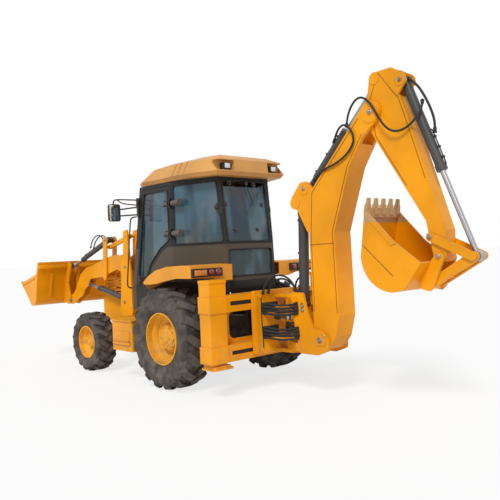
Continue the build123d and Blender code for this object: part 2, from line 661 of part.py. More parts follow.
# Carriage: plate behind the rails with edge strips, clamp bosses and the two pairs of kingpost lugs
CARRIAGE_CORNER = 30.0
EDGE_STRIP = 40.0
BOSS_RISE = 12.0
CLAMP_BOSS_R = 34.0
CLAMP_BOSS_Z = (530.0, 1195.0)
RUNNER_H = 45.0
RUNNER_EDGE = 15.0
LUG_ROOT = 120.0
with BuildPart() as carriage:
    carriage_mid = (CARRIAGE_Z[0] + CARRIAGE_Z[1]) / 2
    carriage_h = CARRIAGE_Z[1] - CARRIAGE_Z[0]
    with BuildSketch(cross(CARRIAGE_X0, carriage_mid)):
        RectangleRounded(2 * CARRIAGE_HALF_W, carriage_h, CARRIAGE_CORNER)
    extrude(amount=CARRIAGE_T)
    for sign in (1, -1):
        block(CARRIAGE_X0 - BOSS_RISE, CARRIAGE_X0 + 1, sign * (CARRIAGE_HALF_W - EDGE_STRIP),
              sign * CARRIAGE_HALF_W, CARRIAGE_Z[0] + CARRIAGE_CORNER, CARRIAGE_Z[1] - CARRIAGE_CORNER)
        for z in CLAMP_BOSS_Z:
            shaft(CARRIAGE_X0 - BOSS_RISE, CARRIAGE_X0 + 1, sign * (CARRIAGE_HALF_W - 90.0), z, CLAMP_BOSS_R)
    for name, sign, z in SWING_ROWS:
        shaft(CARRIAGE_X0 - 1, CARRIAGE_X1 + 1, sign * SWING_EAR_Y, z, SWING_BARREL_R + RUN,
              mode=Mode.SUBTRACT)
    for low, high in (UPPER_RAIL_Z, LOWER_RAIL_Z):
        for z in (low + RUNNER_EDGE, high - RUNNER_EDGE - RUNNER_H):
            block(CARRIAGE_X1 - 1, SLIDE_X0 - RUN, -CARRIAGE_HALF_W + 10, CARRIAGE_HALF_W - 10,
                  z, z + RUNNER_H)
    for low, high in (UPPER_LUG_Z, LOWER_LUG_Z):
        for z in (low - RUN - LUG_T, high + RUN):
            with BuildSketch(plan(z)):
                with Locations((KINGPOST_X, 0)):
                    Circle(LUG_R)
                outline([(KINGPOST_X, LUG_R), (CARRIAGE_X0 + 5, LUG_ROOT), (CARRIAGE_X0 + 5, -LUG_ROOT),
                         (KINGPOST_X, -LUG_R)])
            extrude(amount=LUG_T)
        post(KINGPOST_X, 0, low - RUN - LUG_T - 10, high + RUN + LUG_T + 10, KINGPOST_R)
save(carriage, "carriage")

# Swing cylinders: barrels through the carriage, each rod drawn to its ear on the swing post
SWING_GLAND = 45.0
SWING_PISTON = (-1055.0, -1015.0)
SWING_CAP = 12.0
with BuildPart() as swing_barrels:
    for name, sign, z in SWING_ROWS:
        y = sign * SWING_EAR_Y
        shaft(SWING_BARREL_X[0], SWING_BARREL_X[1], y, z, SWING_BARREL_R)
        shaft(SWING_BARREL_X[0] + SWING_GLAND, SWING_BARREL_X[1] - SWING_CAP, y, z,
              SWING_BARREL_R - RAM_WALL, mode=Mode.SUBTRACT)
        shaft(SWING_BARREL_X[0] - 1, SWING_BARREL_X[0] + SWING_GLAND + 1, y, z, SWING_ROD_R + RUN,
              mode=Mode.SUBTRACT)
save(swing_barrels, "swing_barrels")
for name, sign, z in SWING_ROWS:
    y = sign * SWING_EAR_Y
    with BuildPart() as swing_rod:
        post(KINGPOST_X, y, z - SWING_EYE_H / 2, z + SWING_EYE_H / 2, SWING_EYE_R)
        shaft(KINGPOST_X + SWING_EYE_R - EYE_SINK, SWING_PISTON[0] + 1, y, z, SWING_ROD_R)
        shaft(SWING_PISTON[0], SWING_PISTON[1], y, z, SWING_BARREL_R - RAM_WALL - RUN)
    save(swing_rod, "swing_rod_" + name)

# Swing post: two eyes on the kingpost, a web, the cheeks that hold the boom foot, ears for the swing rods
CHEEK_IN = BOOM_HALF_W + CLEAR
CHEEK = [
    (-1500, 1230),
    (-1700, 1230),
    (-1760, 1000),
    (-1850, 800),
    (-1960, 800),
    (-2070, 700),
    (-2060, 560),
    (-1900, 500),
    (-1620, 500),
    (-1560, 760),
]
CHEEK_CORNER = 32.0
CHEEK_SLOT = (-1685.0, 1050.0)
CHEEK_SLOT_SIZE = (120.0, 56.0)
KEEPER = [(-1890, 612), (-1935, 738), (-2048, 764), (-2025, 622)]
KEEPER_T = 8.0
PIN_RISE = 12.0
EYE_R = LUG_R - 5.0
WEB_X = (-1655.0, -1590.0)
WEB_TOP = 962.0
SWING_EAR_T = 16.0
BOOM_CYL_GAP = (-1700.0, -1470.0, 76.0)
with BuildPart() as swing_post:
    for low, high in (UPPER_LUG_Z, LOWER_LUG_Z):
        with BuildSketch(plan(low)):
            with Locations((KINGPOST_X, 0)):
                Circle(EYE_R)
            outline([(KINGPOST_X, EYE_R), (-1560, SWING_HALF_W), (-1640, SWING_HALF_W),
                     (-1640, -SWING_HALF_W), (-1560, -SWING_HALF_W), (KINGPOST_X, -EYE_R)])
        extrude(amount=high - low)
    block(WEB_X[0], WEB_X[1], -SWING_HALF_W + 1, SWING_HALF_W - 1, LOWER_LUG_Z[0] + 1, WEB_TOP)
    for sign in (1, -1):
        rounded_plate(CHEEK, CHEEK_CORNER, sign * CHEEK_IN, sign * SWING_HALF_W)
    for name, sign, z in SWING_ROWS:
        y = sign * SWING_EAR_Y
        for low in (z - SWING_EYE_H / 2 - SIDE_GAP - SWING_EAR_T, z + SWING_EYE_H / 2 + SIDE_GAP):
            with BuildSketch(plan(low)):
                with Locations((KINGPOST_X, y)):
                    Circle(SWING_EYE_R)
                outline([(KINGPOST_X + 10, y + sign * (SWING_EYE_R - 1)), (WEB_X[1] - 10, y + sign * 60),
                         (WEB_X[1] - 10, y - sign * 40), (KINGPOST_X - 60, y - sign * 12)])
            extrude(amount=SWING_EAR_T)
            post(KINGPOST_X, 0, low - 1, low + SWING_EAR_T + 1, KINGPOST_R + CLEAR, mode=Mode.SUBTRACT)
    block(BOOM_CYL_GAP[0], BOOM_CYL_GAP[1], -BOOM_CYL_GAP[2], BOOM_CYL_GAP[2], WEB_TOP + 1, 1300,
          mode=Mode.SUBTRACT)
    with BuildSketch(side(CHEEK_SLOT[0], CHEEK_SLOT[1], SWING_HALF_W + 1)):
        SlotOverall(*CHEEK_SLOT_SIZE, rotation=90)
    extrude(amount=2 * SWING_HALF_W + 2, mode=Mode.SUBTRACT)
    for sign in (1, -1):
        rounded_plate(KEEPER, 15.0, sign * (SWING_HALF_W - 1), sign * (SWING_HALF_W + KEEPER_T))
    disc(BOOM_CYL_BASE, DIG_PIN_R + 4, -SWING_HALF_W - PIN_RISE, SWING_HALF_W + PIN_RISE)
    disc(BOOM_FOOT, DIG_PIN_R + 8, -SWING_HALF_W - PIN_RISE, SWING_HALF_W + PIN_RISE)
    for low, high in (UPPER_LUG_Z, LOWER_LUG_Z):
        post(KINGPOST_X, 0, low - 1, high + 1, KINGPOST_R + RUN, mode=Mode.SUBTRACT)
save(swing_post, "swing_post")

# Boom: a box arm forked round the dipper at its tip, with two ears for the cylinders on its inner side
BOOM = [
    (-1830, 660),
    (-1815, 1900),
    (-1860, 2420),
    (-2690, 3290),
    (-2790, 3308),
    (-2878, 3190),
    (-2830, 3080),
    (-2650, 2950),
    (-2450, 2640),
    (-2200, 1930),
    (-2220, 970),
    (-2150, 720),
    (-2040, 575),
    (-1900, 565),
]
BOOM_EAR = [
    (-1815, 1900),
    (-1640, 2220),
    (-1545, 2280),
    (-1555, 2380),
    (-1700, 2545),
    (-1800, 2550),
    (-1900, 2450),
]
BOOM_CORNER = 22.0
TIP_FORK_R = 352.0
FOOT_BOSS_R = 118.0
EAR_BOSS_R = 76.0
BOSS_PROUD = 6.0
with BuildPart() as boom:
    rounded_plate(BOOM, BOOM_CORNER, -BOOM_HALF_W, BOOM_HALF_W)
    disc(BOOM_FOOT, FOOT_BOSS_R, -BOOM_HALF_W, BOOM_HALF_W)
    for sign in (1, -1):
        cheek = sign * (BOOM_HALF_W - BOOM_CHEEK)
        rounded_plate(BOOM_EAR, BOOM_CORNER, cheek, sign * BOOM_HALF_W)
        for spot in (BOOM_CYL_EYE, DIPPER_CYL_BASE):
            disc(spot, EAR_BOSS_R, cheek, sign * (BOOM_HALF_W + BOSS_PROUD))
        disc(BOOM_TIP, FOOT_BOSS_R, cheek, sign * (BOOM_HALF_W + BOSS_PROUD))
    disc(BOOM_TIP, TIP_FORK_R, -DIPPER_HALF_W - CLEAR, DIPPER_HALF_W + CLEAR, mode=Mode.SUBTRACT)
    disc(DIPPER_CYL_BASE, DIG_PIN_R, -BOOM_HALF_W - PIN_RISE, BOOM_HALF_W + PIN_RISE)
    disc(BOOM_TIP, DIG_PIN_R + 6, -BOOM_HALF_W - PIN_RISE, BOOM_HALF_W + PIN_RISE)
    disc(BOOM_FOOT, DIG_PIN_R + 8 + RUN, -BOOM_HALF_W, BOOM_HALF_W, mode=Mode.SUBTRACT)
save(boom, "boom")

# Dipper: a tapering box arm, its head of two cheeks holding the cylinders
DIPPER = [
    (-2690, 3050),
    (-2640, 3190),
    (-2690, 3320),
    (-3095, 3320),
    (-3170, 3130),
    (-3560, 1880),
    (-3560, 1620),
    (-3490, 1570),
    (-3420, 1620),
    (-3350, 1980),
    (-2790, 2880),
]
DIPPER_HEAD = [
    (-2690, 3310),
    (-2735, 3570),
    (-2790, 3610),
    (-3010, 3615),
    (-3170, 3520),
    (-3195, 3440),
    (-3085, 3310),
]
DIPPER_CORNER = 20.0
HEAD_BOSS_R = 66.0
END_BOSS_R = 65.0
with BuildPart() as dipper:
    rounded_plate(DIPPER, DIPPER_CORNER, -DIPPER_HALF_W, DIPPER_HALF_W)
    disc(DIG_PIN, END_BOSS_R, -DIPPER_HALF_W, DIPPER_HALF_W)
    for sign in (1, -1):
        cheek = sign * (DIPPER_HALF_W - DIPPER_CHEEK)
        rounded_plate(DIPPER_HEAD, DIPPER_CORNER, cheek, sign * DIPPER_HALF_W)
        for spot in (DIPPER_EYE, BUCKET_CYL_BASE):
            disc(spot, HEAD_BOSS_R, cheek, sign * (DIPPER_HALF_W + BOSS_PROUD))
    disc(BUCKET_CYL_BASE, DIG_PIN_R, -DIPPER_HALF_W - PIN_RISE, DIPPER_HALF_W + PIN_RISE)
    disc(BOOM_TIP, DIG_PIN_R + 6 + RUN, -DIPPER_HALF_W, DIPPER_HALF_W, mode=Mode.SUBTRACT)
    disc(GUIDE_PIN, DIG_PIN_R, -DIPPER_HALF_W - GUIDE_T - 12, DIPPER_HALF_W + GUIDE_T + 12)
    disc(DIG_PIN, DIG_PIN_R, -DIPPER_HALF_W - EAR_T - 15, DIPPER_HALF_W + EAR_T + 15)
save(dipper, "dipper")

# Guide links beside the dipper, joined by the pin at their outer end
LINK_IN = 56.0
GUIDE_IN = DIPPER_HALF_W + 4.0
GUIDE_R = 44.0
with BuildPart() as guide_links:
    for sign in (1, -1):
        near = sign * GUIDE_IN
        far = sign * (GUIDE_IN + GUIDE_T)
        with BuildSketch(side(y=max(near, far))):
            bar(GUIDE_PIN, LINK_EYE, GUIDE_R)
        extrude(amount=GUIDE_T)
        disc(LINK_EYE, DIG_PIN_R, sign * (LINK_IN + 1), sign * (GUIDE_IN + 5))
    disc(GUIDE_PIN, DIG_PIN_R + RUN, -200, 200, mode=Mode.SUBTRACT)
save(guide_links, "guide_links")

# Bucket link, two plates joined by webs between the link pin and the bucket
LINK_OUT = DIPPER_HALF_W + 1.0
LINK_R = 48.0
with BuildPart() as bucket_link:
    for sign in (1, -1):
        with BuildSketch(side(y=max(sign * LINK_IN, sign * LINK_OUT))):
            bar(LINK_EYE, DIG_LINK_PIN, LINK_R)
        extrude(amount=LINK_OUT - LINK_IN)
    block(-3560, -3500, -LINK_IN - 1, LINK_IN + 1, 1395, 1455)
    disc(DIG_LINK_PIN, LINK_R, -LINK_IN - 1, LINK_IN + 1)
    disc(LINK_EYE, DIG_PIN_R + RUN, -200, 200, mode=Mode.SUBTRACT)
save(bucket_link, "bucket_link")

# Digging bucket: a curved shell with side plates, side cutters, hanger ears and five teeth
DIG_LIP = ((-2750.0, 2150.0), (-2768.0, 2147.0))            # outer and inner face of the lip
DIG_BACK = ((-2675.0, 1650.0), (-2695.0, 1652.0))
DIG_CURVE = ((-2788.0, 1378.0), (-2802.0, 1392.0))
DIG_FLOOR = ((-3060.0, 1265.0), (-3060.0, 1285.0))
DIG_TURN = ((-3190.0, 1290.0), (-3180.0, 1309.0))
DIG_TOP = ((-3400.0, 1560.0), (-3385.0, 1572.0))
DIG_SIDE_CORNER = (-3080.0, 1800.0)
DIG_EAR = [
    (-3552, 1600),
    (-3530, 1655),
    (-3480, 1672),
    (-3390, 1560),
    (-3250, 1390),
    (-3290, 1290),
    (-3380, 1270),
    (-3430, 1320),
]
SIDE_CUTTER = [(-2752, 2148), (-3078, 1803), (-3120, 1765), (-3060, 1748), (-2742, 2075)]
EDGE_PLATE = [(-2752, 2160), (-2738, 2060), (-2776, 2055), (-2786, 2150)]
TOOTH_SHANK = [(-2733, 2095), (-2752, 2195), (-2796, 2190), (-2790, 2085)]
TOOTH_POINT = [(-2745, 2150), (-2775, 2262), (-2800, 2258), (-2794, 2140)]
TEETH = 5
TOOTH_EDGE = 32.0
with BuildPart() as dig_bucket:
    with BuildSketch(side(y=DIG_HALF_W)) as shell:
        with BuildLine():
            Line(DIG_LIP[0], DIG_BACK[0])
            ThreePointArc(DIG_BACK[0], DIG_CURVE[0], DIG_FLOOR[0])
            Polyline(DIG_FLOOR[0], DIG_TURN[0], DIG_TOP[0], DIG_TOP[1], DIG_TURN[1], DIG_FLOOR[1])
            ThreePointArc(DIG_FLOOR[1], DIG_CURVE[1], DIG_BACK[1])
            Polyline(DIG_BACK[1], DIG_LIP[1], DIG_LIP[0])
        make_face()
    extrude(shell.sketch, amount=2 * DIG_HALF_W)
    for sign in (1, -1):
        near = sign * (DIG_HALF_W - 18)
        far = sign * DIG_HALF_W
        with BuildSketch(side(y=max(near, far))) as cheek:
            with BuildLine():
                Line(DIG_LIP[0], DIG_BACK[0])
                ThreePointArc(DIG_BACK[0], DIG_CURVE[0], DIG_FLOOR[0])
                Polyline(DIG_FLOOR[0], DIG_TURN[0], DIG_TOP[0], DIG_SIDE_CORNER, DIG_LIP[0])
            make_face()
        extrude(cheek.sketch, amount=18)
        plate(SIDE_CUTTER, sign * (DIG_HALF_W - 12), sign * (DIG_HALF_W + 8))
        ear_y = DIPPER_HALF_W + CLEAR
        rounded_plate(DIG_EAR, 12.0, sign * ear_y, sign * (ear_y + EAR_T))
    plate(EDGE_PLATE, -DIG_HALF_W, DIG_HALF_W)
    disc(DIG_PIN, DIG_PIN_R + RUN, -DIG_HALF_W, DIG_HALF_W, mode=Mode.SUBTRACT)
    for n in range(TEETH):
        y = (DIG_HALF_W - TOOTH_EDGE) * (2 * n / (TEETH - 1) - 1)
        plate(TOOTH_SHANK, y - 30, y + 30)
        plate(TOOTH_POINT, y - 19, y + 19)
save(dig_bucket, "dig_bucket")

# Digging arm cylinders
ram("boom_cylinder", BOOM_CYL_BASE, BOOM_CYL_EYE, (0.0,), 62.0, 32.0, 1140.0, 93.0, 100.0, DIG_PIN_R + 4)
ram("dipper_cylinder", DIPPER_CYL_BASE, DIPPER_EYE, (0.0,), 60.0, 32.0, 830.0, 680.0, 100.0, DIG_PIN_R)
ram("bucket_cylinder", BUCKET_CYL_BASE, LINK_EYE, (0.0,), 50.0, 28.0, 1060.0, 940.0, 100.0, DIG_PIN_R)

# Loader arms: two plates with forks for the lift cylinders, joined by a cross tube
ARM = [
    (1500, 1600),
    (1540, 1700),
    (1700, 1760),
    (1850, 1790),
    (2050, 1782),
    (2330, 1718),
    (2690, 1630),
    (2900, 1600),
    (3120, 1481),
    (3200, 1378),
    (3290, 1250),
    (3400, 1150),
    (3510, 1115),
    (3550, 1045),
    (3525, 975),
    (3450, 965),
    (3060, 1130),
    (2960, 1245),
    (2870, 1290),
    (2780, 1410),
    (2350, 1446),
    (1900, 1560),
    (1700, 1510),
    (1560, 1510),
]
ARM_CORE_REAR = [
    (1540, 1560),
    (1560, 1690),
    (1700, 1745),
    (1850, 1775),
    (2050, 1767),
    (2330, 1703),
    (2330, 1465),
    (1900, 1580),
    (1700, 1530),
]
ARM_CORE_NOSE = [(3390, 1110), (3500, 1100), (3535, 1045), (3510, 985), (3450, 980), (3370, 1015)]
ARM_CORNER = 20.0
CROSS_TUBE = (2985.0, 1450.0)
CROSS_TUBE_R = 55.0
PIN_REACH = 700.0
with BuildPart() as loader_arms:
    for sign in (1, -1):
        rounded_plate(ARM, ARM_CORNER, sign * ARM_IN, sign * (ARM_IN + ARM_PLATE))
        rounded_plate(ARM, ARM_CORNER, sign * (ARM_OUT - ARM_PLATE), sign * ARM_OUT)
        for core in (ARM_CORE_REAR, ARM_CORE_NOSE):
            plate(core, sign * (ARM_IN + 1), sign * (ARM_OUT - 1))
    disc(CROSS_TUBE, CROSS_TUBE_R, -ARM_IN - 1, ARM_IN + 1)
    for spot in (ARM_PIVOT, LEVER_PIN, BUCKET_PIN):
        disc(spot, LOADER_PIN_R + RUN, -PIN_REACH, PIN_REACH, mode=Mode.SUBTRACT)
save(loader_arms, "loader_arms")

# Tilt levers, two plates beside each arm
LEVER_T = 22.0
LEVER_GAP = 7.0
LEVER_R = 55.0
LEVER_IN = ARM_IN - LEVER_GAP - LEVER_T
LEVER_OUT = ARM_OUT + LEVER_GAP
with BuildPart() as tilt_levers:
    for sign in (1, -1):
        for y in (sign * LEVER_IN, sign * LEVER_OUT):
            with BuildSketch(side(y=max(y, y + sign * LEVER_T))):
                bar(LEVER_PIN, LEVER_TOP, LEVER_R)
            extrude(amount=LEVER_T)
        disc(LEVER_PIN, LOADER_PIN_R, sign * LEVER_IN, sign * (LEVER_OUT + LEVER_T))
        disc(LINK_PIN, LINK_PIN_R, sign * LEVER_IN, sign * (LEVER_OUT + LEVER_T))
    disc(LEVER_TOP, LOADER_PIN_R + RUN, -PIN_REACH, PIN_REACH, mode=Mode.SUBTRACT)
save(tilt_levers, "tilt_levers")

# Levelling links between the lever and the tower
LEVEL_W = 40.0
LEVEL_R = 32.0
with BuildPart() as levelling_links:
    for sign in (1, -1):
        with BuildSketch(side(y=sign * ARM_Y + LEVEL_W / 2)):
            bar(TOWER_PIN, LINK_PIN, LEVEL_R)
        extrude(amount=LEVEL_W)
    for spot in (TOWER_PIN, LINK_PIN):
        disc(spot, LINK_PIN_R + RUN, -PIN_REACH, PIN_REACH, mode=Mode.SUBTRACT)
save(levelling_links, "levelling_links")

# Pins of the front bucket and of the tilt cylinders
PIN_HEAD = 6.0
for name, spot in (("bucket_pins", BUCKET_PIN), ("tilt_pins", LEVER_TOP)):
    with BuildPart() as pins:
        for sign in (1, -1):
            disc(spot, LOADER_PIN_R, sign * (LEVER_IN - PIN_HEAD), sign * (LEVER_OUT + LEVER_T + PIN_HEAD))
    save(pins, name)

ram("lift_cylinder", LIFT_BASE, LIFT_EYE, (ARM_Y, -ARM_Y), 37.0, 22.0, 970.0, 334.0, 80.0, LOADER_PIN_R)
ram("tilt_cylinder", LEVER_TOP, TILT_EYE, (ARM_Y, -ARM_Y), 37.0, 22.0, 975.0, 110.0, 80.0, LOADER_PIN_R)

# Front bucket: a shell with a rounded heel, end plates, cutting edge and the brackets for arms and cylinders
BUCKET_FLOOR = (3960.0, 1050.0)
BUCKET_CURVE = (3825.0, 972.0)
BUCKET_BACK = (3700.0, 1070.0)
BUCKET_SIDE = [BUCKET_EDGE, (4190.0, 1385.0), (3660.0, 1520.0), BUCKET_LIP, BUCKET_BACK]
CUTTING_EDGE = [(4303, 1376), (4309, 1369), (4206, 1271), (4199, 1279)]
BRACKET = [
    (3475, 1000),
    (3545, 965),
    (3752, 1008),
    (3703, 1078),
    (3592, 1630),
    (3540, 1705),
    (3460, 1705),
    (3415, 1640),
    (3440, 1560),
    (3530, 1330),
    (3480, 1120),
]
with BuildPart() as loader_bucket:
    with BuildSketch(side(y=BUCKET_HALF_W)) as shell:
        with BuildLine():
            Line(BUCKET_EDGE, BUCKET_FLOOR)
            ThreePointArc(BUCKET_FLOOR, BUCKET_CURVE, BUCKET_BACK)
            Line(BUCKET_BACK, BUCKET_LIP)
            offset(amount=BUCKET_WALL, side=Side.RIGHT, closed=True)
        make_face()
    extrude(shell.sketch, amount=2 * BUCKET_HALF_W)
    for sign in (1, -1):
        near = sign * (BUCKET_HALF_W - BUCKET_WALL)
        far = sign * BUCKET_HALF_W
        with BuildSketch(side(y=max(near, far))) as cheek:
            with BuildLine():
                Polyline(*BUCKET_SIDE)
                ThreePointArc(BUCKET_BACK, BUCKET_CURVE, BUCKET_FLOOR)
                Line(BUCKET_FLOOR, BUCKET_EDGE)
            make_face()
        extrude(cheek.sketch, amount=BUCKET_WALL)
        for y in (LEVER_IN, LEVER_OUT):
            rounded_plate(BRACKET, 12.0, sign * y, sign * (y + LEVER_T))
    plate(CUTTING_EDGE, -BUCKET_HALF_W, BUCKET_HALF_W)
    disc(BUCKET_PIN, LOADER_PIN_R + RUN, -PIN_REACH, PIN_REACH, mode=Mode.SUBTRACT)
save(loader_bucket, "loader_bucket")

# Cab: walls between an outer and an inner skin, given by a side view and a plan
CAB_TOP = 2750.0
CAB_SIDE = [
    (-648, CAB_STEP_Z),
    (CAB_STEP_X, CAB_STEP_Z),
    (CAB_STEP_X, CAB_Z),
    (1300, CAB_Z),
    (1300, 1200),
    (975, CAB_TOP),
    (-530, CAB_TOP),
    (-620, 1910),
]
TOP_CORNERS = ((5, -10.0), (6, 0.0))     # corner of the side view, shift that keeps the front post slim
CAB_PLAN = [(-650, 420), (-650, -420), (180, -705), (1300, -660), (1300, 660), (180, 705)]
CAB_REACH = 800.0
CAB_WALL = 40.0
GLASS_IN = 14.0
GLASS_T = 6.0
SILL_Z = 1890.0
SILL_BAR = (-655.0, -560.0, 415.0, 1235.0)
DOOR_HOLE = [
    (205, 2700),
    (205, 1905),
    (461, 1795),
    (727, 1585),
    (830, 1400),
    (830, 1010),
    (1200, 1010),
    (1200, 1240),
    (905, 2700),
]
DOOR_HINGE = (185.0, 725.0)
HINGE_Z = (2450.0, 2040.0)
HINGE_H = 80.0
HINGE_LUG = 22.0
HINGE_R = 14.0
HINGE_PIN_R = 7.0
DOOR_PANE = [(252, 2645), (252, 1950), (485, 1850), (765, 1625), (870, 1450), (1111, 1450), (870, 2645)]
QUARTER = [(140, 2690), (-515, 2690), (-590, SILL_Z), (140, SILL_Z)]
QUARTER_Y = 400.0
REAR_PANES = ((385.0, SILL_Z, 2700.0), (385.0, 1440.0, 1790.0))     # half width, bottom, top
FRONT_PANE = [(-590, 1330), (590, 1330), (590, 2680), (-590, 2680)]
DOOR_SIDE = (500.0, 760.0)


def cab_block(depth, open_top):
    """The whole cab as one solid, its faces at a depth below the outer ones."""
    shape = grown(CAB_SIDE, -depth)
    if open_top:
        for corner, shift in TOP_CORNERS:
            shape[corner] = (shape[corner][0] + shift, CAB_TOP + 50)
    with BuildPart() as solid:
        plate(shape, -CAB_REACH, CAB_REACH)
        slab(grown(CAB_PLAN, -depth), CAB_Z - 10, CAB_TOP + 60, mode=Mode.INTERSECT)
    return solid.part


def cab_skin(outside, inside):
    """Walls of the cab between two depths below its outer face, open at the top."""
    outer = cab_block(outside, False)
    inner = cab_block(inside, True)
    with BuildPart() as skin:
        add(outer)
        add(inner, mode=Mode.SUBTRACT)
    return skin.part


def cab_windows(gap):
    """The fixed windows as blocks that reach through the walls, drawn in by a gap."""
    with BuildPart() as windows:
        for sign in (1, -1):
            plate(grown(QUARTER, -gap), sign * QUARTER_Y, sign * DOOR_SIDE[1])
        for half, low, high in REAR_PANES:
            block(-760, -420, -half + gap, half - gap, low + gap, high - gap)
        with BuildSketch(cross(880)) as pane:
            outline(grown(FRONT_PANE, -gap))
        extrude(pane.sketch, amount=500)
    return windows.part


cab_walls = cab_skin(0.0, CAB_WALL)
cab_panes = cab_skin(GLASS_IN, GLASS_IN + GLASS_T)
window_holes = cab_windows(0.0)
window_panes = cab_windows(RUN)
with BuildPart() as cab_shell:
    add(cab_walls)
    add(window_holes, mode=Mode.SUBTRACT)
    block(SILL_BAR[0], SILL_BAR[1], -SILL_BAR[2], SILL_BAR[2], SILL_BAR[3], CAB_STEP_Z + 5)
    for sign in (1, -1):
        plate(DOOR_HOLE, sign * DOOR_SIDE[0], sign * DOOR_SIDE[1], mode=Mode.SUBTRACT)
        hinge_y = sign * DOOR_HINGE[1]
        for z in HINGE_Z:
            for low in (z - HINGE_H / 2 - RUN - HINGE_LUG, z + HINGE_H / 2 + RUN):
                block(150, DOOR_HINGE[0] + HINGE_R, sign * 690, hinge_y + sign * HINGE_R, low,
                      low + HINGE_LUG)
            post(DOOR_HINGE[0], hinge_y, z - HINGE_H / 2 - 20, z + HINGE_H / 2 + 20, HINGE_PIN_R)
save(cab_shell, "cab_shell")
with BuildPart() as cab_glass:
    add(cab_panes)
    add(window_panes, mode=Mode.INTERSECT)
save(cab_glass, "cab_glass")

# Doors, cut from the same walls, each with its two hinge straps, and their panes
for name, sign in (("left", 1), ("right", -1)):
    hinge_y = sign * DOOR_HINGE[1]
    with BuildPart() as door:
        add(cab_walls)
        plate(grown(DOOR_HOLE, -CLEAR), sign * DOOR_SIDE[0], sign * DOOR_SIDE[1], mode=Mode.INTERSECT)
        plate(DOOR_PANE, sign * DOOR_SIDE[0], sign * DOOR_SIDE[1], mode=Mode.SUBTRACT)
        for z in HINGE_Z:
            low = z - HINGE_H / 2
            high = z + HINGE_H / 2
            block(DOOR_HINGE[0], 300, hinge_y - sign * HINGE_R, hinge_y + sign * 8, low, high)
            block(212, 300, sign * 696, hinge_y - sign * (HINGE_R - 2), low, high)
            post(DOOR_HINGE[0], hinge_y, low, high, HINGE_R)
            post(DOOR_HINGE[0], hinge_y, low - 1, high + 1, HINGE_PIN_R + RUN, mode=Mode.SUBTRACT)
    save(door, "door_" + name)
    with BuildPart() as pane:
        add(cab_panes)
        plate(grown(DOOR_PANE, -RUN), sign * DOOR_SIDE[0], sign * DOOR_SIDE[1], mode=Mode.INTERSECT)
    save(pane, "door_glass_" + name)

# Roof: a low dome in four levels with lamp pockets behind and three ribs on each side
ROOF = [
    (-720, 600),
    (-720, -600),
    (-300, -745),
    (820, -745),
    (1080, -600),
    (1080, 600),
    (820, 745),
    (-300, 745),
]
ROOF_SHOULDER = [
    (-700, 560),
    (-700, -560),
    (-330, -660),
    (600, -660),
    (760, -560),
    (760, 560),
    (600, 660),
    (-330, 660),
]
ROOF_CROWN = [
    (-560, 420),
    (-560, -420),
    (-330, -470),
    (450, -470),
    (560, -420),
    (560, 420),
    (450, 470),
    (-330, 470),
]
ROOF_LEVELS = (
    (CAB_TOP + RUN, grown(ROOF, -40.0)),
    (2800.0, ROOF),
    (2960.0, ROOF_SHOULDER),
    (3030.0, ROOF_CROWN),
)
LAMP_POCKET = (-730.0, -610.0, 300.0, 600.0, 2812.0, 2945.0)
RIB_X = (-190.0, -60.0, 65.0)
RIB = [(700, 2800), (752, 2803), (668, 2970), (600, 2958)]
RIB_W = 24.0
with BuildPart() as cab_roof:
    for z, shape in ROOF_LEVELS:
        with BuildSketch(plan(z)):
            outline(shape)
    loft(ruled=True)
    x0, x1, y0, y1, z0, z1 = LAMP_POCKET
    for sign in (1, -1):
        block(x0, x1, sign * y0, sign * y1, z0, z1, mode=Mode.SUBTRACT)
        for x in RIB_X:
            with BuildSketch(cross(x)):
                outline([(sign * y, z) for y, z in RIB])
            extrude(amount=RIB_W)
save(cab_roof, "cab_roof")

# Fenders, from the wall of the cab outwards, with a skirt beside and a plate behind the wheel
FENDER_T = 14.0
FENDER_LINE = [
    (-725, 1600),
    (-521, 1612),
    (-220, 1600),
    (32, 1555),
    (202, 1485),
    (319, 1410),
    (600, 1335),
    (830, 1290),
]
FENDER_SKIRT = [
    (-722, 1450),
    (-722, 1598),
    (-521, 1610),
    (-220, 1598),
    (32, 1553),
    (202, 1483),
    (319, 1408),
    (319, 1375),
    (200, 1370),
    (0, 1385),
    (-180, 1420),
    (-420, 1450),
]
FENDER_BACK = [(430, 1400), (430, 1596), (1100, 1596), (1100, 1450), (760, 1440), (600, 1400)]
FENDER_IN = 430.0
FENDER_OUT = 1100.0
with BuildPart() as cab_space:
    plate([(-690, 1200), (900, 1200), (900, 2000), (-690, 2000)], -CAB_REACH, CAB_REACH)
    slab(grown(CAB_PLAN, RUN), 1100, 2000, mode=Mode.INTERSECT)
with BuildPart() as fenders:
    for sign in (1, -1):
        plate(strip(FENDER_LINE, -FENDER_T), sign * FENDER_IN, sign * FENDER_OUT)
        plate(FENDER_SKIRT, sign * (FENDER_OUT - FENDER_T), sign * FENDER_OUT)
        with BuildSketch(cross(-725)):
            outline([(sign * y, z) for y, z in FENDER_BACK])
        extrude(amount=FENDER_T)
        slab([(830, sign * 690), (319, sign * 1101), (840, sign * 1101)], 1200, 1500, mode=Mode.SUBTRACT)
    add(cab_space.part, mode=Mode.SUBTRACT)
save(fenders, "fenders")

# Tanks with a top plate and a foot step to the cab
TANK_X = (700.0, 1230.0)
TANK_Z = (430.0, 850.0)
TANK_PLATE = 16.0
with BuildPart() as tank_boxes:
    tank_in = RAIL_Y1 + RUN
    for sign in (1, -1):
        pad(TANK_X[0], TANK_X[1], sign * tank_in, sign * 1080, TANK_Z[0], TANK_Z[1], 20.0)
        pad(TANK_X[0] - 10, TANK_X[1] + 10, sign * tank_in, sign * 1100, TANK_Z[1] - 1,
            TANK_Z[1] + TANK_PLATE, 20.0)
        block(770, 1160, sign * 990, sign * 1081, 560, 700, mode=Mode.SUBTRACT)
        block(740, 1190, sign * 1070, sign * 1100, 520, 556)
save(tank_boxes, "tank_boxes")

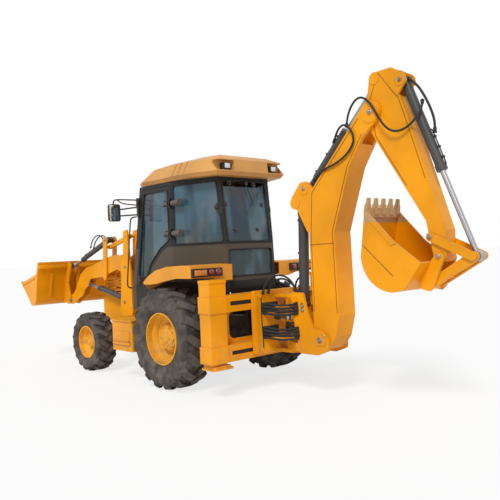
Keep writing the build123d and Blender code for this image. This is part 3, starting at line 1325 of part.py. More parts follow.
# Seat with its base, cushion and back rest
SEAT_Z = CAB_STEP_Z + CAB_WALL + RUN
SEAT_BACK = [(130, 1600), (240, 1600), (160, 2160), (130, 2230), (75, 2230), (62, 2160)]
with BuildPart() as seat:
    pad(180, 500, -180, 180, SEAT_Z, 1540, 30.0)
    pad(120, 560, -250, 250, 1530, 1640, 60.0)
    rounded_plate(SEAT_BACK, 18.0, -230, 230)
save(seat, "seat")

# Steering column with its wheel, and the rear console with two levers
COLUMN = [
    (1040, CAB_Z + CAB_WALL + RUN),
    (1180, CAB_Z + CAB_WALL + RUN),
    (1060, 1700),
    (910, 1795),
    (860, 1785),
    (880, 1700),
    (1000, 1640),
]
WHEEL_TILT = Plane(origin=(REAR_AXLE_X + 880, 0, 1772), x_dir=(0, 1, 0), z_dir=(-0.45, 0, 0.9))
LEVER_Y = 170.0
with BuildPart() as cab_controls:
    plate(COLUMN, -90, 90)
    with BuildSketch(WHEEL_TILT):
        Circle(190)
        Circle(164, mode=Mode.SUBTRACT)
        Rectangle(344, 34)
    extrude(amount=24)
    block(-520, -330, -300, 300, SEAT_Z, 1700)
    for sign in (1, -1):
        lever_foot = (-430.0, sign * LEVER_Y, 1690.0)
        lever_top = (-390.0, sign * (LEVER_Y - 20), 1900.0)
        rod(lever_foot, lever_top, 11.0)
        with Locations((REAR_AXLE_X + lever_top[0], lever_top[1], lever_top[2])):
            Sphere(24)
save(cab_controls, "cab_controls")

# Lamps: working lamps in the roof pockets and on the front of the roof, tail lamps, nose lamps
FRONT_POD = [(1070, 2805.5), (930, 2875.5), (930, 2890), (985, 2925), (1072, 2925), (1084, 2812)]
TAIL_X = -725.0 - RUN
TAIL_LENSES = (690.0, 800.0)
with BuildPart() as lamps:
    for sign in (1, -1):
        block(-700, LAMP_POCKET[1] - RUN, sign * 365, sign * 465, 2830, 2910)
        rounded_plate(FRONT_POD, 4.0, sign * 360, sign * 470)
        block(TAIL_X - 32, TAIL_X, sign * 620, sign * 1090, 1462, 1566)
        for y in TAIL_LENSES:
            shaft(TAIL_X - 42, TAIL_X - 31, sign * y, 1514, 42.0)
        block(TAIL_X - 42, TAIL_X - 31, sign * 880, sign * 1076, 1474, 1554)
        shaft(NOSE_X + RUN, NOSE_X + 45, sign * 265, 965, 66.0)
save(lamps, "lamps")

# Mirrors, each held by two tubes on a bracket of the front post
MIRROR_X = (1150.0, 1184.0)
BRACKET_Y = 672.8
with BuildPart() as mirrors:
    for sign in (1, -1):
        with BuildSketch(cross(MIRROR_X[0], 2395)):
            with Locations((sign * 1000, 0)):
                RectangleRounded(190, 250, 34)
        extrude(amount=MIRROR_X[1] - MIRROR_X[0])
        block(992, 1034, sign * BRACKET_Y, sign * 704, 2330, 2500)
        rod((1013.0, sign * 694.0, 2470.0), (1167.0, sign * 930.0, 2440.0), 11.0)
        rod((1013.0, sign * 694.0, 2360.0), (1167.0, sign * 930.0, 2350.0), 11.0)
save(mirrors, "mirrors")
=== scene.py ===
# %% [markdown]
# A backhoe loader dressed for its portrait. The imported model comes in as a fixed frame: every node
# already stands where it belongs, in metres, X forward, Y to the machine's left and Z up. This
# script adds finishes, small trim, hoses, a padded seat, light and a camera.

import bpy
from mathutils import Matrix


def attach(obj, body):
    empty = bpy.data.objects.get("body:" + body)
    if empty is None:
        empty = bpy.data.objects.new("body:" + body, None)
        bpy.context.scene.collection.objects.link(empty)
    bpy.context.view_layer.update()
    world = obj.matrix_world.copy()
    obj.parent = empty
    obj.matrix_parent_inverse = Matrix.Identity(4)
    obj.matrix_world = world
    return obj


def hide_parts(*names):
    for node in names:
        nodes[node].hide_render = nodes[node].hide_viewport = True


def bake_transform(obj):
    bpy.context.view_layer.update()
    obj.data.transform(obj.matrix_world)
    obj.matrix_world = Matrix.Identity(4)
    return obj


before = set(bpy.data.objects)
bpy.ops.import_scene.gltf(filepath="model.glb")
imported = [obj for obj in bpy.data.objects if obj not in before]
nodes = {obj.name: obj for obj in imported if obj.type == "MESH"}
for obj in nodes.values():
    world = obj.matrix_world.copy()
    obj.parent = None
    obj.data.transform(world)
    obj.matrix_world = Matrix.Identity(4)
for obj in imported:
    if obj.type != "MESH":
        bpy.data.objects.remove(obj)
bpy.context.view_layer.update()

# %% [markdown]
# Blender brings its own vectors and matrices, and Python the trigonometry. With the Standard view
# transform a colour reaches the picture about as it is written.

# %% Modules
from math import cos, radians, sin, tau

import bpy
from mathutils import Matrix, Vector

scene = bpy.context.scene
scene.view_settings.view_transform = "Standard"

# %% [markdown]
# The photograph was taken from behind the machine's left side, a little above the cab floor. The
# camera stands at the same point, and its small roll follows the photographer's hand. The lens is
# worked out from the focal length in pixels and the 500 pixel frame.

# %% Camera
PHOTO_SIDE = 500
FOCAL_PIXELS = 620.35
SENSOR = 36.0
CAMERA_AT = (-6.947, 5.636, 1.744)
CAMERA_YAW = radians(-42.56)
CAMERA_PITCH = radians(0.18)
CAMERA_ROLL = radians(-2.529)


def added(name, data):
    """A new object for a mesh, curve, lamp or camera, put in the scene."""
    piece = bpy.data.objects.new(name, data)
    scene.collection.objects.link(piece)
    return piece


def direction(azimuth, elevation):
    """A unit vector, from its angle round Z and its angle above the ground."""
    level = cos(elevation)
    return Vector((cos(azimuth) * level, sin(azimuth) * level, sin(elevation)))


camera_data = bpy.data.cameras.new("camera")
camera_data.sensor_width = SENSOR
camera_data.lens = SENSOR * FOCAL_PIXELS / PHOTO_SIDE
camera = added("camera", camera_data)
scene.camera = camera
look = direction(CAMERA_YAW, CAMERA_PITCH)
level_right = Vector((sin(CAMERA_YAW), -cos(CAMERA_YAW), 0))
level_up = level_right.cross(look)
right = level_right * cos(CAMERA_ROLL) + level_up * sin(CAMERA_ROLL)
up = level_up * cos(CAMERA_ROLL) - level_right * sin(CAMERA_ROLL)
turn = Matrix((right, up, -look)).transposed().to_4x4()
camera.matrix_world = Matrix.Translation(CAMERA_AT) @ turn
print("lens:", round(camera_data.lens, 2), "mm")

# %% [markdown]
# A finish is a small net of shader nodes. Written as plain expressions it stays readable: the class
# below wraps one output of a node, so that `1 - dust * 0.5` adds its own Math nodes.

# %% Shader expressions
class Value:
    """One output of a node. Arithmetic on it adds Math nodes to the same finish."""

    def __init__(self, finish, output):
        self.finish = finish
        self.output = output

    def calculate(self, operation, first, second):
        return self.finish.add("ShaderNodeMath", {"operation": operation}, {0: first, 1: second})

    def __add__(self, other):
        return self.calculate("ADD", self, other)

    def __sub__(self, other):
        return self.calculate("SUBTRACT", self, other)

    def __rsub__(self, other):
        return self.calculate("SUBTRACT", other, self)

    def __mul__(self, other):
        return self.calculate("MULTIPLY", self, other)

    def __pow__(self, power):
        return self.calculate("POWER", self, power)

    __radd__ = __add__
    __rmul__ = __mul__


# %% [markdown]
# A material starts as one Principled shader. Every other node comes from the method `add`, which
# sets the node's options first and its inputs afterwards, because an option such as the kind of
# data can change which inputs count. Patterns read Object coordinates, so they stay on the metal
# when the piece moves with its joint.

# %% Materials
MIX_FIRST, MIX_SECOND, MIX_RESULT = 6, 7, 2     # numbers of a Mix node's colour sockets


class Finish:
    """A material with a Principled shader and the nodes that feed it."""

    def __init__(self, name, colour, roughness, metallic=0.0):
        self.material = bpy.data.materials.new(name)
        self.material.use_nodes = True
        self.tree = self.material.node_tree
        self.shader = self.tree.nodes["Principled BSDF"]
        self.set(Base_Color=(*colour, 1), Roughness=roughness, Metallic=metallic)

    def add(self, kind, settings=None, inputs=None, output=0):
        """A node of a kind, its options first, then its inputs by name or number."""
        node = self.tree.nodes.new(kind)
        for name, value in (settings or {}).items():
            setattr(node, name, value)
        for name, value in (inputs or {}).items():
            self.feed(node.inputs[name], value)
        return Value(self, node.outputs[output])

    def feed(self, socket, value):
        if isinstance(value, Value):
            self.tree.links.new(value.output, socket)
        else:
            socket.default_value = value

    def set(self, **sockets):
        """Feeds the shader's own sockets, spaces in their names written as underscores."""
        for name, value in sockets.items():
            self.feed(self.shader.inputs[name.replace("_", " ")], value)

    def place(self):
        return self.add("ShaderNodeTexCoord", output="Object")

    def part_of(self, vector, axis):
        return self.add("ShaderNodeSeparateXYZ", inputs={0: vector}, output=axis)

    def noise(self, scale, detail, where, stretch=None):
        if stretch:
            where = self.add("ShaderNodeVectorMath", {"operation": "MULTIPLY"}, {0: where, 1: stretch})
        inputs = {"Vector": where, "Scale": scale, "Detail": detail}
        return self.add("ShaderNodeTexNoise", inputs=inputs)

    def ramp(self, value, low, high):
        """Runs smoothly from 0 to 1 as the value goes from low to high."""
        inputs = {"Value": value, "From Min": low, "From Max": high}
        return self.add("ShaderNodeMapRange", {"interpolation_type": "SMOOTHSTEP"}, inputs)

    def patches(self, scale, detail, where, low, high):
        """Soft islands cut out of a noise between two of its levels."""
        return self.ramp(self.noise(scale, detail, where), low, high)

    def blend(self, share, first, second):
        """Goes from the first colour to the second as the share goes from 0 to 1."""
        inputs = {0: share}
        for socket, colour in ((MIX_FIRST, first), (MIX_SECOND, second)):
            inputs[socket] = (*colour, 1) if isinstance(colour, tuple) else colour
        return self.add("ShaderNodeMix", {"data_type": "RGBA"}, inputs, output=MIX_RESULT)

    def soft_edges(self, radius):
        """The surface's normal as if its edges were rounded."""
        return self.add("ShaderNodeBevel", {"samples": 4}, {"Radius": radius})

    def bump(self, height, depth, normal=None):
        inputs = {"Height": height, "Distance": depth, "Strength": 1.0}
        if normal:
            inputs["Normal"] = normal
        return self.add("ShaderNodeBump", inputs=inputs)


# %% [markdown]
# The colours are written as on a screen, whose numbers don't keep step with light: half the
# number is only about a fifth of the light. Shaders count light, so each colour is turned into
# linear values before it goes into a finish.

# %% Colours as light
def shade(red, green, blue):
    """A colour as a screen gives it, 0 to 255, as the linear light that shaders use."""
    linear = []
    for part in (red, green, blue):
        part = part / 255
        linear.append(part / 12.92 if part < 0.04045 else ((part + 0.055) / 1.055) ** 2.4)
    return tuple(linear)


def dimmed(colour, share):
    """A share of a colour's light."""
    return tuple(share * part for part in colour)


# %% [markdown]
# Machine paint is thick and fairly glossy, and a working machine is never clean: pale dust settles
# on what faces up, mud and soot gather low down, and the paint is rubbed thin along the edges. The
# Bevel node compares the flat faces with rounded ones, which finds those edges on any shape.

# %% Painted metal
DUST = shade(150, 125, 92)
BARE = shade(120, 112, 104)
WORN_EDGE = 0.004
COLOUR_EDGE = 0.002     # half the width over which one paint gives way to another


def paint(name, colour, roughness=0.34, dust=0.30, wear=0.5, coat=0.1, upper=None):
    """Gloss paint with a slightly uneven tone, dust from above, grime from below and worn edges.

    Where upper is given, as a colour, a level and an axis, its colour takes over beyond the level.
    """
    finish = Finish(name, colour, roughness)
    where = finish.place()
    tone = finish.noise(1.3, 3.0, where)
    fine = finish.noise(38.0, 5.0, where)
    body = finish.blend(finish.ramp(tone, 0.35, 0.68), colour, dimmed(colour, 0.80))
    if upper:
        other, level, axis = upper
        beyond = finish.ramp(finish.part_of(where, axis), level - COLOUR_EDGE, level + COLOUR_EDGE)
        body = finish.blend(beyond, body, other)
    rounded = finish.soft_edges(WORN_EDGE)
    flat = finish.add("ShaderNodeNewGeometry", output="Normal")
    settings = {"operation": "DOT_PRODUCT"}
    flatness = finish.add("ShaderNodeVectorMath", settings, {0: rounded, 1: flat}, output="Value")
    rubbed = finish.ramp(flatness + fine * 0.16, 1.02, 0.96) * wear
    upward = finish.part_of(flat, "Z")
    height = finish.part_of(where, "Z")
    dusty = finish.ramp(upward, 0.25, 0.95) * finish.patches(5.0, 6.0, where, 0.36, 0.66) * dust
    mud = finish.patches(9.0, 6.0, where, 0.42, 0.70)
    splash = finish.ramp(height, 0.95, 0.15) * mud * (dust + 0.25)
    soiled = finish.blend(splash, finish.blend(dusty, body, DUST), DUST)
    worn = finish.blend(rubbed, soiled, BARE)
    finish.set(Base_Color=worn, Coat_Weight=coat, Coat_Roughness=0.12, Specular_IOR_Level=0.25)
    finish.set(Roughness=roughness + dusty * 0.5 + splash * 0.4 + fine * 0.08)
    peel = finish.noise(160.0, 2.0, where)
    finish.set(Normal=finish.bump(peel * 0.6 + tone * 0.4, 0.0006, rounded))
    return finish.material


# %% [markdown]
# Tyre rubber is matt and chalky. On these tyres the tips of the lugs are painted lighter, a painted
# highlight, and the grooves at their foot stay darkest, a painted shade, while the walls hold brown
# dust, so a wheel's finish measures the distance from its axle and changes colour with it. Hoses use
# the same rubber without that.

# %% Rubber
def rubber(name, colour, dusty_colour, grain=55.0, dust=0.6, wheel=None):
    """Matt rubber, dusty in patches, and on a wheel with a painted highlight on the lug tips.

    A wheel is its axle's X and Z, the radius at the foot of the lugs and the radius at their tips.
    """
    finish = Finish(name, colour, 0.8)
    where = finish.place()
    if wheel:
        axle_x, axle_z, foot, tip = wheel
        across = finish.part_of(where, "X") - axle_x
        above = finish.part_of(where, "Z") - axle_z
        radius = (across * across + above * above) ** 0.5
        # Painted highlight and shade: the lugs turn lighter towards their tips, and the grooves at
        # their foot keep the darkest colour.
        lugs = finish.blend(finish.ramp(radius, foot, tip), colour, shade(76, 74, 71))
        wall_share = finish.ramp(radius, foot - 0.02, foot - 0.05)
        colour = finish.blend(wall_share, lugs, shade(54, 48, 45))
    patches = finish.patches(7.0, 7.0, where, 0.35, 0.72) * dust
    low = finish.ramp(finish.part_of(where, "Z"), 0.75, 0.05) * 0.35
    finish.set(Base_Color=finish.blend(patches + low * patches, colour, dusty_colour))
    finish.set(Roughness=0.72 + patches * 0.2)
    grains = finish.noise(grain, 4.0, where)
    finish.set(Normal=finish.bump(grains, 0.0015, finish.soft_edges(0.006)))
    return finish.material


# %% [markdown]
# Bare metal takes its look from what it mirrors. A noise stretched along one axis draws the fine
# scratches of polishing, and a film of rust turns the metal brown, dull and no longer metallic.
# Moulded plastic is the opposite: no metal at all, and a leathery grain of tiny cells.

# %% Steel and plastic
def steel(name, colour, roughness, rust=0.0, grain=0.0006):
    """Bare or plated steel, with fine scratches and, where asked, a brown film of rust."""
    finish = Finish(name, colour, roughness, metallic=1.0)
    where = finish.place()
    scratches = finish.noise(60.0, 6.0, where, stretch=(1.0, 1.0, 6.0))
    film = finish.patches(11.0, 7.0, where, 0.45, 0.68) * rust
    finish.set(Base_Color=finish.blend(film, colour, shade(96, 66, 44)))
    finish.set(Metallic=1 - film)
    finish.set(Roughness=roughness + scratches * 0.12 + film * 0.5)
    finish.set(Normal=finish.bump(scratches, grain))
    return finish.material


def plastic(name, colour, roughness=0.5, grain=300.0):
    """Moulded plastic with a fine leathery grain and a trace of dust."""
    finish = Finish(name, colour, roughness)
    where = finish.place()
    skin = finish.add("ShaderNodeTexVoronoi", inputs={"Vector": where, "Scale": grain})
    dusty = finish.patches(9.0, 5.0, where, 0.45, 0.75) * 0.25
    finish.set(Base_Color=finish.blend(dusty, colour, DUST))
    finish.set(Roughness=roughness + dusty * 0.6)
    finish.set(Normal=finish.bump(skin, 0.0003, finish.soft_edges(0.003)))
    return finish.material


# %% [markdown]
# The cab's glass is tinted and shows mostly the sky, as a painted reflection in its colour, deeper blue
# higher up. Half clear panes need many samples when light has to bend through them, so the tint is a
# dark glossy skin that lets only a share of the view through. A lamp's lens has fine upright ribs,
# which a Wave texture draws.

# %% Glass and lenses
def glass(name, colour, low_colour, cover):
    """Tinted safety glass with a painted reflection of the sky, deeper blue higher up, in broad upright
    bands.
    """
    finish = Finish(name, colour, 0.04)
    where = finish.place()
    film = finish.patches(2.6, 6.0, where, 0.42, 0.75) * 0.16
    # Painted reflection of the sky: the colour turns deeper blue higher up, and paler upright bands lie
    # over it.
    sky = finish.blend(finish.ramp(finish.part_of(where, "Z"), 1.75, 2.35), low_colour, colour)
    reflection_streaks = finish.ramp(finish.noise(2.2, 2.0, where, stretch=(1.0, 1.0, 0.2)), 0.50, 0.60)
    sky = finish.blend(reflection_streaks * 0.5, sky, shade(92, 130, 146))
    finish.set(Base_Color=finish.blend(film, sky, DUST))
    finish.set(Alpha=cover + film * 0.5 + reflection_streaks * 0.08)
    finish.set(Roughness=0.03 + film * 0.8, Specular_IOR_Level=0.55)
    return finish.material


def lens(name, colour, roughness):
    """A clear or coloured lens with fine upright ribs behind a glossy face."""
    finish = Finish(name, colour, roughness)
    inputs = {"Vector": finish.place(), "Scale": 22.0}
    ribs = finish.add("ShaderNodeTexWave", {"bands_direction": "Y"}, inputs)
    finish.set(Base_Color=finish.blend(ribs * 0.6, colour, dimmed(colour, 0.55)))
    finish.set(Coat_Weight=0.8, Coat_Roughness=0.05, Normal=finish.bump(ribs, 0.0008))
    return finish.material


# %% [markdown]
# The seat's cloth is woven: two sets of threads cross, and each is a Wave texture. Their product
# gives the pale crossings and their sum the height. Long use wears soft pale patches into it.

# %% Seat cloth
def woven(name, colour, thread):
    """Seat cloth: two crossing sets of threads, worn pale in soft patches."""
    finish = Finish(name, colour, 0.9)
    inputs = {"Vector": finish.place(), "Scale": 160.0}
    first, second = (finish.add("ShaderNodeTexWave", {"bands_direction": bands}, inputs)
                     for bands in ("Y", "DIAGONAL"))
    worn = finish.patches(6.0, 4.0, inputs["Vector"], 0.4, 0.7) * 0.4
    finish.set(Base_Color=finish.blend(first * second * 0.5 + worn, colour, thread))
    finish.set(Sheen_Weight=0.3, Normal=finish.bump(first + second, 0.0006))
    return finish.material


# %% [markdown]
# The paints of this machine: a warm yellow on nearly all the steel, tan plastic on the roof, orange
# fenders that have faded, a brown cab whose pillars turn black above the waist, and dark grey
# cylinders with chrome rods. The main frame is yellow in front and painted nearly black behind, a
# painted shade for what lies in shadow behind the slide frame.

# %% Colours and finishes
MACHINE_YELLOW = shade(244, 160, 2)
CAB_BLACK = shade(34, 33, 33)
SOIL_TAN = shade(190, 150, 98)     # on the upper part of the digging bucket
TYRE_BLACK = shade(26, 25, 24)
TYRE_DUST = shade(112, 102, 92)
CAB_WAIST = 1.86
# Forward of this X the main frame is yellow; behind it the dark colour is a painted shade.
PAINTED_SHADE_BEHIND = -0.1
SOIL_ABOVE = 2.0
REAR_AXLE = -0.2
REAR_TYRE = (REAR_AXLE, 0.665, 0.636, 0.660)     # axle's X and Z, foot and tip of the lugs
FRONT_TYRE = (1.94, 0.455, 0.436, 0.452)
finishes = {
    "yellow": paint("machine_yellow", MACHINE_YELLOW),
    "bucket": paint("bucket_yellow", MACHINE_YELLOW, dust=0.5, wear=0.9),
    "dig": paint("dig_bucket_yellow", MACHINE_YELLOW, dust=0.4, wear=0.9,
                 upper=(SOIL_TAN, SOIL_ABOVE, "Z")),
    # The main frame's rear is painted dark as a painted shade, for what lies in shadow behind the slide
    # frame.
    "painted_shade_frame": paint("shaded_frame", shade(44, 36, 28), roughness=0.6, dust=0.4, coat=0.0,
                     upper=(MACHINE_YELLOW, PAINTED_SHADE_BEHIND, "X")),
    "roof": paint("roof_tan", shade(216, 158, 88), roughness=0.45, dust=0.2, wear=0.1),
    "fender": paint("fender_orange", shade(240, 164, 50), roughness=0.42, wear=0.1),
    "cab": paint("cab_brown", shade(80, 70, 59), roughness=0.5, dust=0.2, wear=0.1,
                 upper=(CAB_BLACK, CAB_WAIST, "Z")),
    "frame": paint("frame_black", shade(30, 29, 28), roughness=0.45, dust=0.15, wear=0.1),
    "rim": paint("rim_yellow", shade(246, 176, 42), roughness=0.4, dust=0.45),
    "axle": paint("axle_grey", shade(58, 54, 50), roughness=0.55, dust=0.5, wear=0.4, coat=0.0),
    "cylinder": paint("cylinder_grey", shade(72, 70, 70), roughness=0.42, dust=0.25, wear=0.4),
    "iron": paint("engine_iron", shade(52, 52, 54), roughness=0.7, dust=0.4, wear=0.2, coat=0.0),
    # The bead's darker paint is a painted shade for the dark line along a plate's edge.
    "weld": paint("weld_shade_line", shade(168, 104, 18), roughness=0.6, dust=0.5, wear=0.0, coat=0.0),
    "chrome": steel("chrome_rod", (0.40, 0.40, 0.42), 0.22, grain=0.0001),
    "pin": steel("pin_steel", (0.42, 0.40, 0.38), 0.38, rust=0.5),
    "mirror": steel("mirror_face", (0.62, 0.68, 0.74), 0.04, grain=0.0),
    "tyre": rubber("rear_rubber", TYRE_BLACK, TYRE_DUST, wheel=REAR_TYRE),
    "small_tyre": rubber("front_rubber", TYRE_BLACK, TYRE_DUST, wheel=FRONT_TYRE),
    "hose": rubber("hose_rubber", shade(26, 26, 28), shade(62, 58, 52), 180.0, 0.3),
    "plastic": plastic("dark_plastic", shade(36, 35, 34)),
    "cover": plastic("hinge_grey", shade(84, 78, 74), 0.45),
    # The glass's two colours are its tint with a painted sky reflection, the first above and the second
    # low down.
    "glass": glass("tinted_glass", shade(24, 54, 76), shade(42, 66, 70), 0.76),
    "lens": lens("clear_lens", shade(226, 230, 232), 0.12),
    "red_lens": lens("red_lens", shade(150, 30, 44), 0.10),
    "amber_lens": lens("amber_lens", shade(226, 140, 62), 0.10),
    "cloth": woven("seat_cloth", shade(38, 40, 44), shade(70, 72, 76)),
}
print("finishes:", len(finishes))

# %% [markdown]
# Every node of the frame keeps its shape and takes a finish. The table goes from the most general
# start of a name to the most special, so that the last line that fits is the one that counts.

# %% Finishes of the frame
NODE_FINISH = [
    ("", "yellow"),
    ("tyre", "tyre"),
    ("tyre_front", "small_tyre"),
    ("rim", "rim"),
    ("front_axle", "axle"),
    ("rear_axle", "axle"),
    ("knuckle", "axle"),
    ("engine", "iron"),
    ("main_frame", "painted_shade_frame"),
    ("cab_", "cab"),
    ("cab_roof", "roof"),
    ("cab_glass", "glass"),
    ("cab_controls", "plastic"),
    ("door_", "frame"),
    ("door_glass", "glass"),
    ("fenders", "fender"),
    ("seat", "plastic"),
    ("lamps", "plastic"),
    ("mirrors", "plastic"),
    ("swing_barrels", "cylinder"),
    ("swing_rod", "chrome"),
    ("bucket_pins", "pin"),
    ("tilt_pins", "pin"),
    ("dig_bucket", "dig"),
    ("loader_bucket", "bucket"),
]
for cylinder in ("boom", "dipper", "bucket", "lift", "tilt"):
    NODE_FINISH.append((f"{cylinder}_cylinder_barrel", "cylinder"))
    NODE_FINISH.append((f"{cylinder}_cylinder_rod", "chrome"))
for name, node in nodes.items():
    fitting = [finish for start, finish in NODE_FINISH if name.startswith(start)][-1]
    node.data.materials.clear()
    node.data.materials.append(finishes[fitting])
print("painted nodes:", len(nodes))

# %% [markdown]
# The drawing of the machine measures in millimetres from the rear axle, so the small pieces are
# given the same way. An operator works on whatever is selected, so two helpers select one piece
# first, and one of them goes through edit mode. A shape made upright is turned to face any way by
# the rotation that takes its Z axis there.

# %% Places and selection
MM = 0.001
SIDES = (("left", 1), ("right", -1))


def spot(x, y, z):
    """A point in millimetres from the rear axle, the middle and the ground, in the frame's metres."""
    return Vector((REAR_AXLE + x * MM, y * MM, z * MM))


def on_side(point, sign):
    """A point of the left side, or with a negative sign its mirror image on the right."""
    x, y, z = point
    return (x, sign * y, z)


def only(piece):
    """Selects one piece and makes it the active one."""
    bpy.ops.object.select_all(action="DESELECT")
    piece.select_set(True)
    bpy.context.view_layer.objects.active = piece


def edit(piece, *steps):
    """Runs edit mode operators one after another, starting with the whole piece selected."""
    only(piece)
    bpy.ops.object.mode_set(mode="EDIT")
    bpy.ops.mesh.select_all(action="SELECT")
    for operator, options in steps:
        operator(**options)
    bpy.ops.object.mode_set(mode="OBJECT")


def facing(place, towards):
    """The place of a shape whose own Z axis is to look in a direction."""
    return Matrix.Translation(place) @ Vector(towards).to_track_quat("Z", "Y").to_matrix().to_4x4()


# %% [markdown]
# Bolts, caps, collars and round lenses come off a lathe. Here they are a profile spun round the Z
# axis. The spin leaves a seam of double points and may turn the faces inwards, so the doubles are
# merged and the normals made to point outwards.

# %% Turned shapes
MERGE_DISTANCE = 0.00005


def turned(profile, steps, place=(0, 0, 0), towards=(0, 0, 1)):
    """A shape turned from a profile of radii and heights, standing at a place."""
    mesh = bpy.data.meshes.new("turned")
    points = [(radius * MM, 0, height * MM) for radius, height in profile]
    mesh.from_pydata(points, [(n, n + 1) for n in range(len(points) - 1)], [])
    piece = added("turned", mesh)
    spin = {"steps": steps, "angle": tau, "center": (0, 0, 0), "axis": (0, 0, 1)}
    edit(
        piece,
        (bpy.ops.mesh.spin, spin),
        (bpy.ops.mesh.select_all, {"action": "SELECT"}),
        (bpy.ops.mesh.remove_doubles, {"threshold": MERGE_DISTANCE}),
        (bpy.ops.mesh.normals_make_consistent, {"inside": False}),
    )
    piece.matrix_world = facing(place, towards)
    return piece


# %% [markdown]
# What is cut from plate or moulded is a cube scaled to its size, with its edges bevelled. No real
# edge is perfectly sharp, and even a narrow bevel catches a line of light.

# %% Blocks
def rounded_cube(size, radius, segments):
    """A block at the origin with all its edges rounded."""
    bpy.ops.mesh.primitive_cube_add(size=1, location=(0, 0, 0))
    piece = bpy.context.object
    piece.scale = [part * MM for part in size]
    bpy.ops.object.transform_apply(location=False, rotation=False, scale=True)
    bevel = {"offset": radius * MM, "segments": segments, "affect": "EDGES"}
    edit(piece, (bpy.ops.mesh.bevel, bevel))
    return piece


def block(centre, size, radius, turn=(0, 0, 0), segments=2):
    """A block with rounded edges, at its place."""
    piece = rounded_cube(size, radius, segments)
    piece.location = spot(*centre)
    piece.rotation_euler = turn
    return piece


# %% [markdown]
# Hoses, pipes, rods and seals are curves with a round bevel, turned into meshes. A smooth one pulls
# a curve along its points, as rubber bends, and one with straight runs turns at each point.

# %% Tubes
def tube(points, radius, smooth=True, closed=False, fineness=3):
    """A round tube along points, as one smooth curve or with straight runs."""
    curve = bpy.data.curves.new("tube", "CURVE")
    curve.dimensions = "3D"
    curve.bevel_depth = radius * MM
    curve.bevel_resolution = fineness
    curve.use_fill_caps = True
    curve.resolution_u = 10
    spline = curve.splines.new("NURBS" if smooth else "POLY")
    spline.points.add(len(points) - 1)
    for point, place in zip(spline.points, points):
        point.co = (*spot(*place), 1)
    if smooth:
        spline.order_u = 4
        spline.use_endpoint_u = True
    spline.use_cyclic_u = closed
    only(added("tube", curve))
    bpy.ops.object.convert(target="MESH")
    return bpy.context.object


# %% [markdown]
# A finished piece is several loose parts joined into one mesh. Its place is applied to the mesh, so
# that its object sits at the origin as the nodes of the frame do, and it is then handed to the body
# that carries it. A piece without a body is handed to none and stays where it is made.

# %% Copies, joining and handing over
SMOOTH_BELOW = radians(34)


def copied(pattern, place, towards):
    """Another of a finished shape, with a mesh of its own."""
    piece = added(pattern.name, pattern.data.copy())
    piece.matrix_world = facing(place, towards)
    return piece


def joined(parts):
    """Joins loose parts into the first of them."""
    bpy.ops.object.select_all(action="DESELECT")
    for part in parts:
        part.select_set(True)
    bpy.context.view_layer.objects.active = parts[0]
    if len(parts) > 1:
        bpy.ops.object.join()
    return bpy.context.object


def finished(name, finish, body, parts):
    """Joins the parts into one piece with a finish and a body to ride on."""
    piece = joined(parts)
    bpy.ops.object.transform_apply(location=True, rotation=True, scale=True)
    bpy.ops.object.shade_smooth_by_angle(angle=SMOOTH_BELOW)
    piece.name = name
    piece.data.name = name
    piece.data.materials.clear()
    piece.data.materials.append(finishes[finish])
    if body:
        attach(piece, body)
    return piece


# %% [markdown]
# Bolts hold a machine like this together, and they are what the eye takes its size from. One bolt
# is a hexagonal head with a chamfer, turned in six steps, on a round washer. It is modelled once
# for each group of equal bolts and copied to each place of the group.

# %% Bolts
HEAD_LINE = [(0, 0.62), (0.42, 0.62), (0.50, 0.54), (0.50, 0.10)]
WASHER_LINE = [(0.45, 0.12), (0.70, 0.12), (0.76, 0.06), (0.76, 0)]


def scaled(line, size):
    """A profile drawn for the size 1, at another size."""
    return [(radius * size, height * size) for radius, height in line]


def bolts(size, places, towards):
    """Equal bolts at places given from the rear axle, all copied from one."""
    head = turned(scaled(HEAD_LINE, size), 6)
    washer = turned(scaled(WASHER_LINE, size), 12)
    pattern = joined([head, washer])
    copies = [copied(pattern, spot(*place), towards) for place in places]
    bpy.data.objects.remove(pattern)
    return copies


# %% [markdown]
# A ring of nuts holds each rim to its hub, and a turned cap with six small screws closes the hub.
# Both belong to the wheel, so they turn with it.

# %% Wheel nuts and hub caps
# axle, its X, face of the nuts, height, nuts, their circle, size, face of the hub, radius of the cap
WHEEL_NUTS = [
    ("rear", 0, 976, 665, 10, 146, 30, 990, 118),
    ("front", 2140, 934, 455, 8, 89, 20, 948, 72),
]
CAP_SCREWS = 6
SCREW_SEAT = 9     # how far the screws stand off the face of the hub
SCREW_CIRCLE = 0.78     # share of the cap's radius
SCREW_SHARE = 0.55     # of the size of a wheel nut


def ring(count, radius, x, y, z):
    """Places spread evenly round a wheel's axle."""
    angles = [tau * n / count for n in range(count)]
    return [(x + radius * cos(angle), y, z + radius * sin(angle)) for angle in angles]


for axle, x, face, height, count, circle, size, hub, cap in WHEEL_NUTS:
    lid = [(0, 26), (0.42 * cap, 26), (0.52 * cap, 20), (0.55 * cap, 11), (0.9 * cap, 10), (cap, 0)]
    for side, sign in SIDES:
        wheel = f"wheel_{axle}_{side}"
        outward = (0, sign, 0)
        nuts = bolts(size, ring(count, circle, x, sign * face, height), outward)
        screws = ring(CAP_SCREWS, SCREW_CIRCLE * cap, x, sign * (hub + SCREW_SEAT), height)
        nuts += bolts(SCREW_SHARE * size, screws, outward)
        finished(f"{wheel}_nuts", "rim", wheel, nuts)
        cover = turned(lid, 32, spot(x, sign * hub, height), outward)
        finished(f"{wheel}_cap", "rim", wheel, [cover])
print("wheels with nuts:", len(WHEEL_NUTS) * len(SIDES))

# %% [markdown]
# Each pin of the arms ends in a collar and one bolt that keeps it from walking out. The swing post
# has two keeper bolts more on each side, and a plate with two big bolts. All that sits on one body
# becomes one piece.

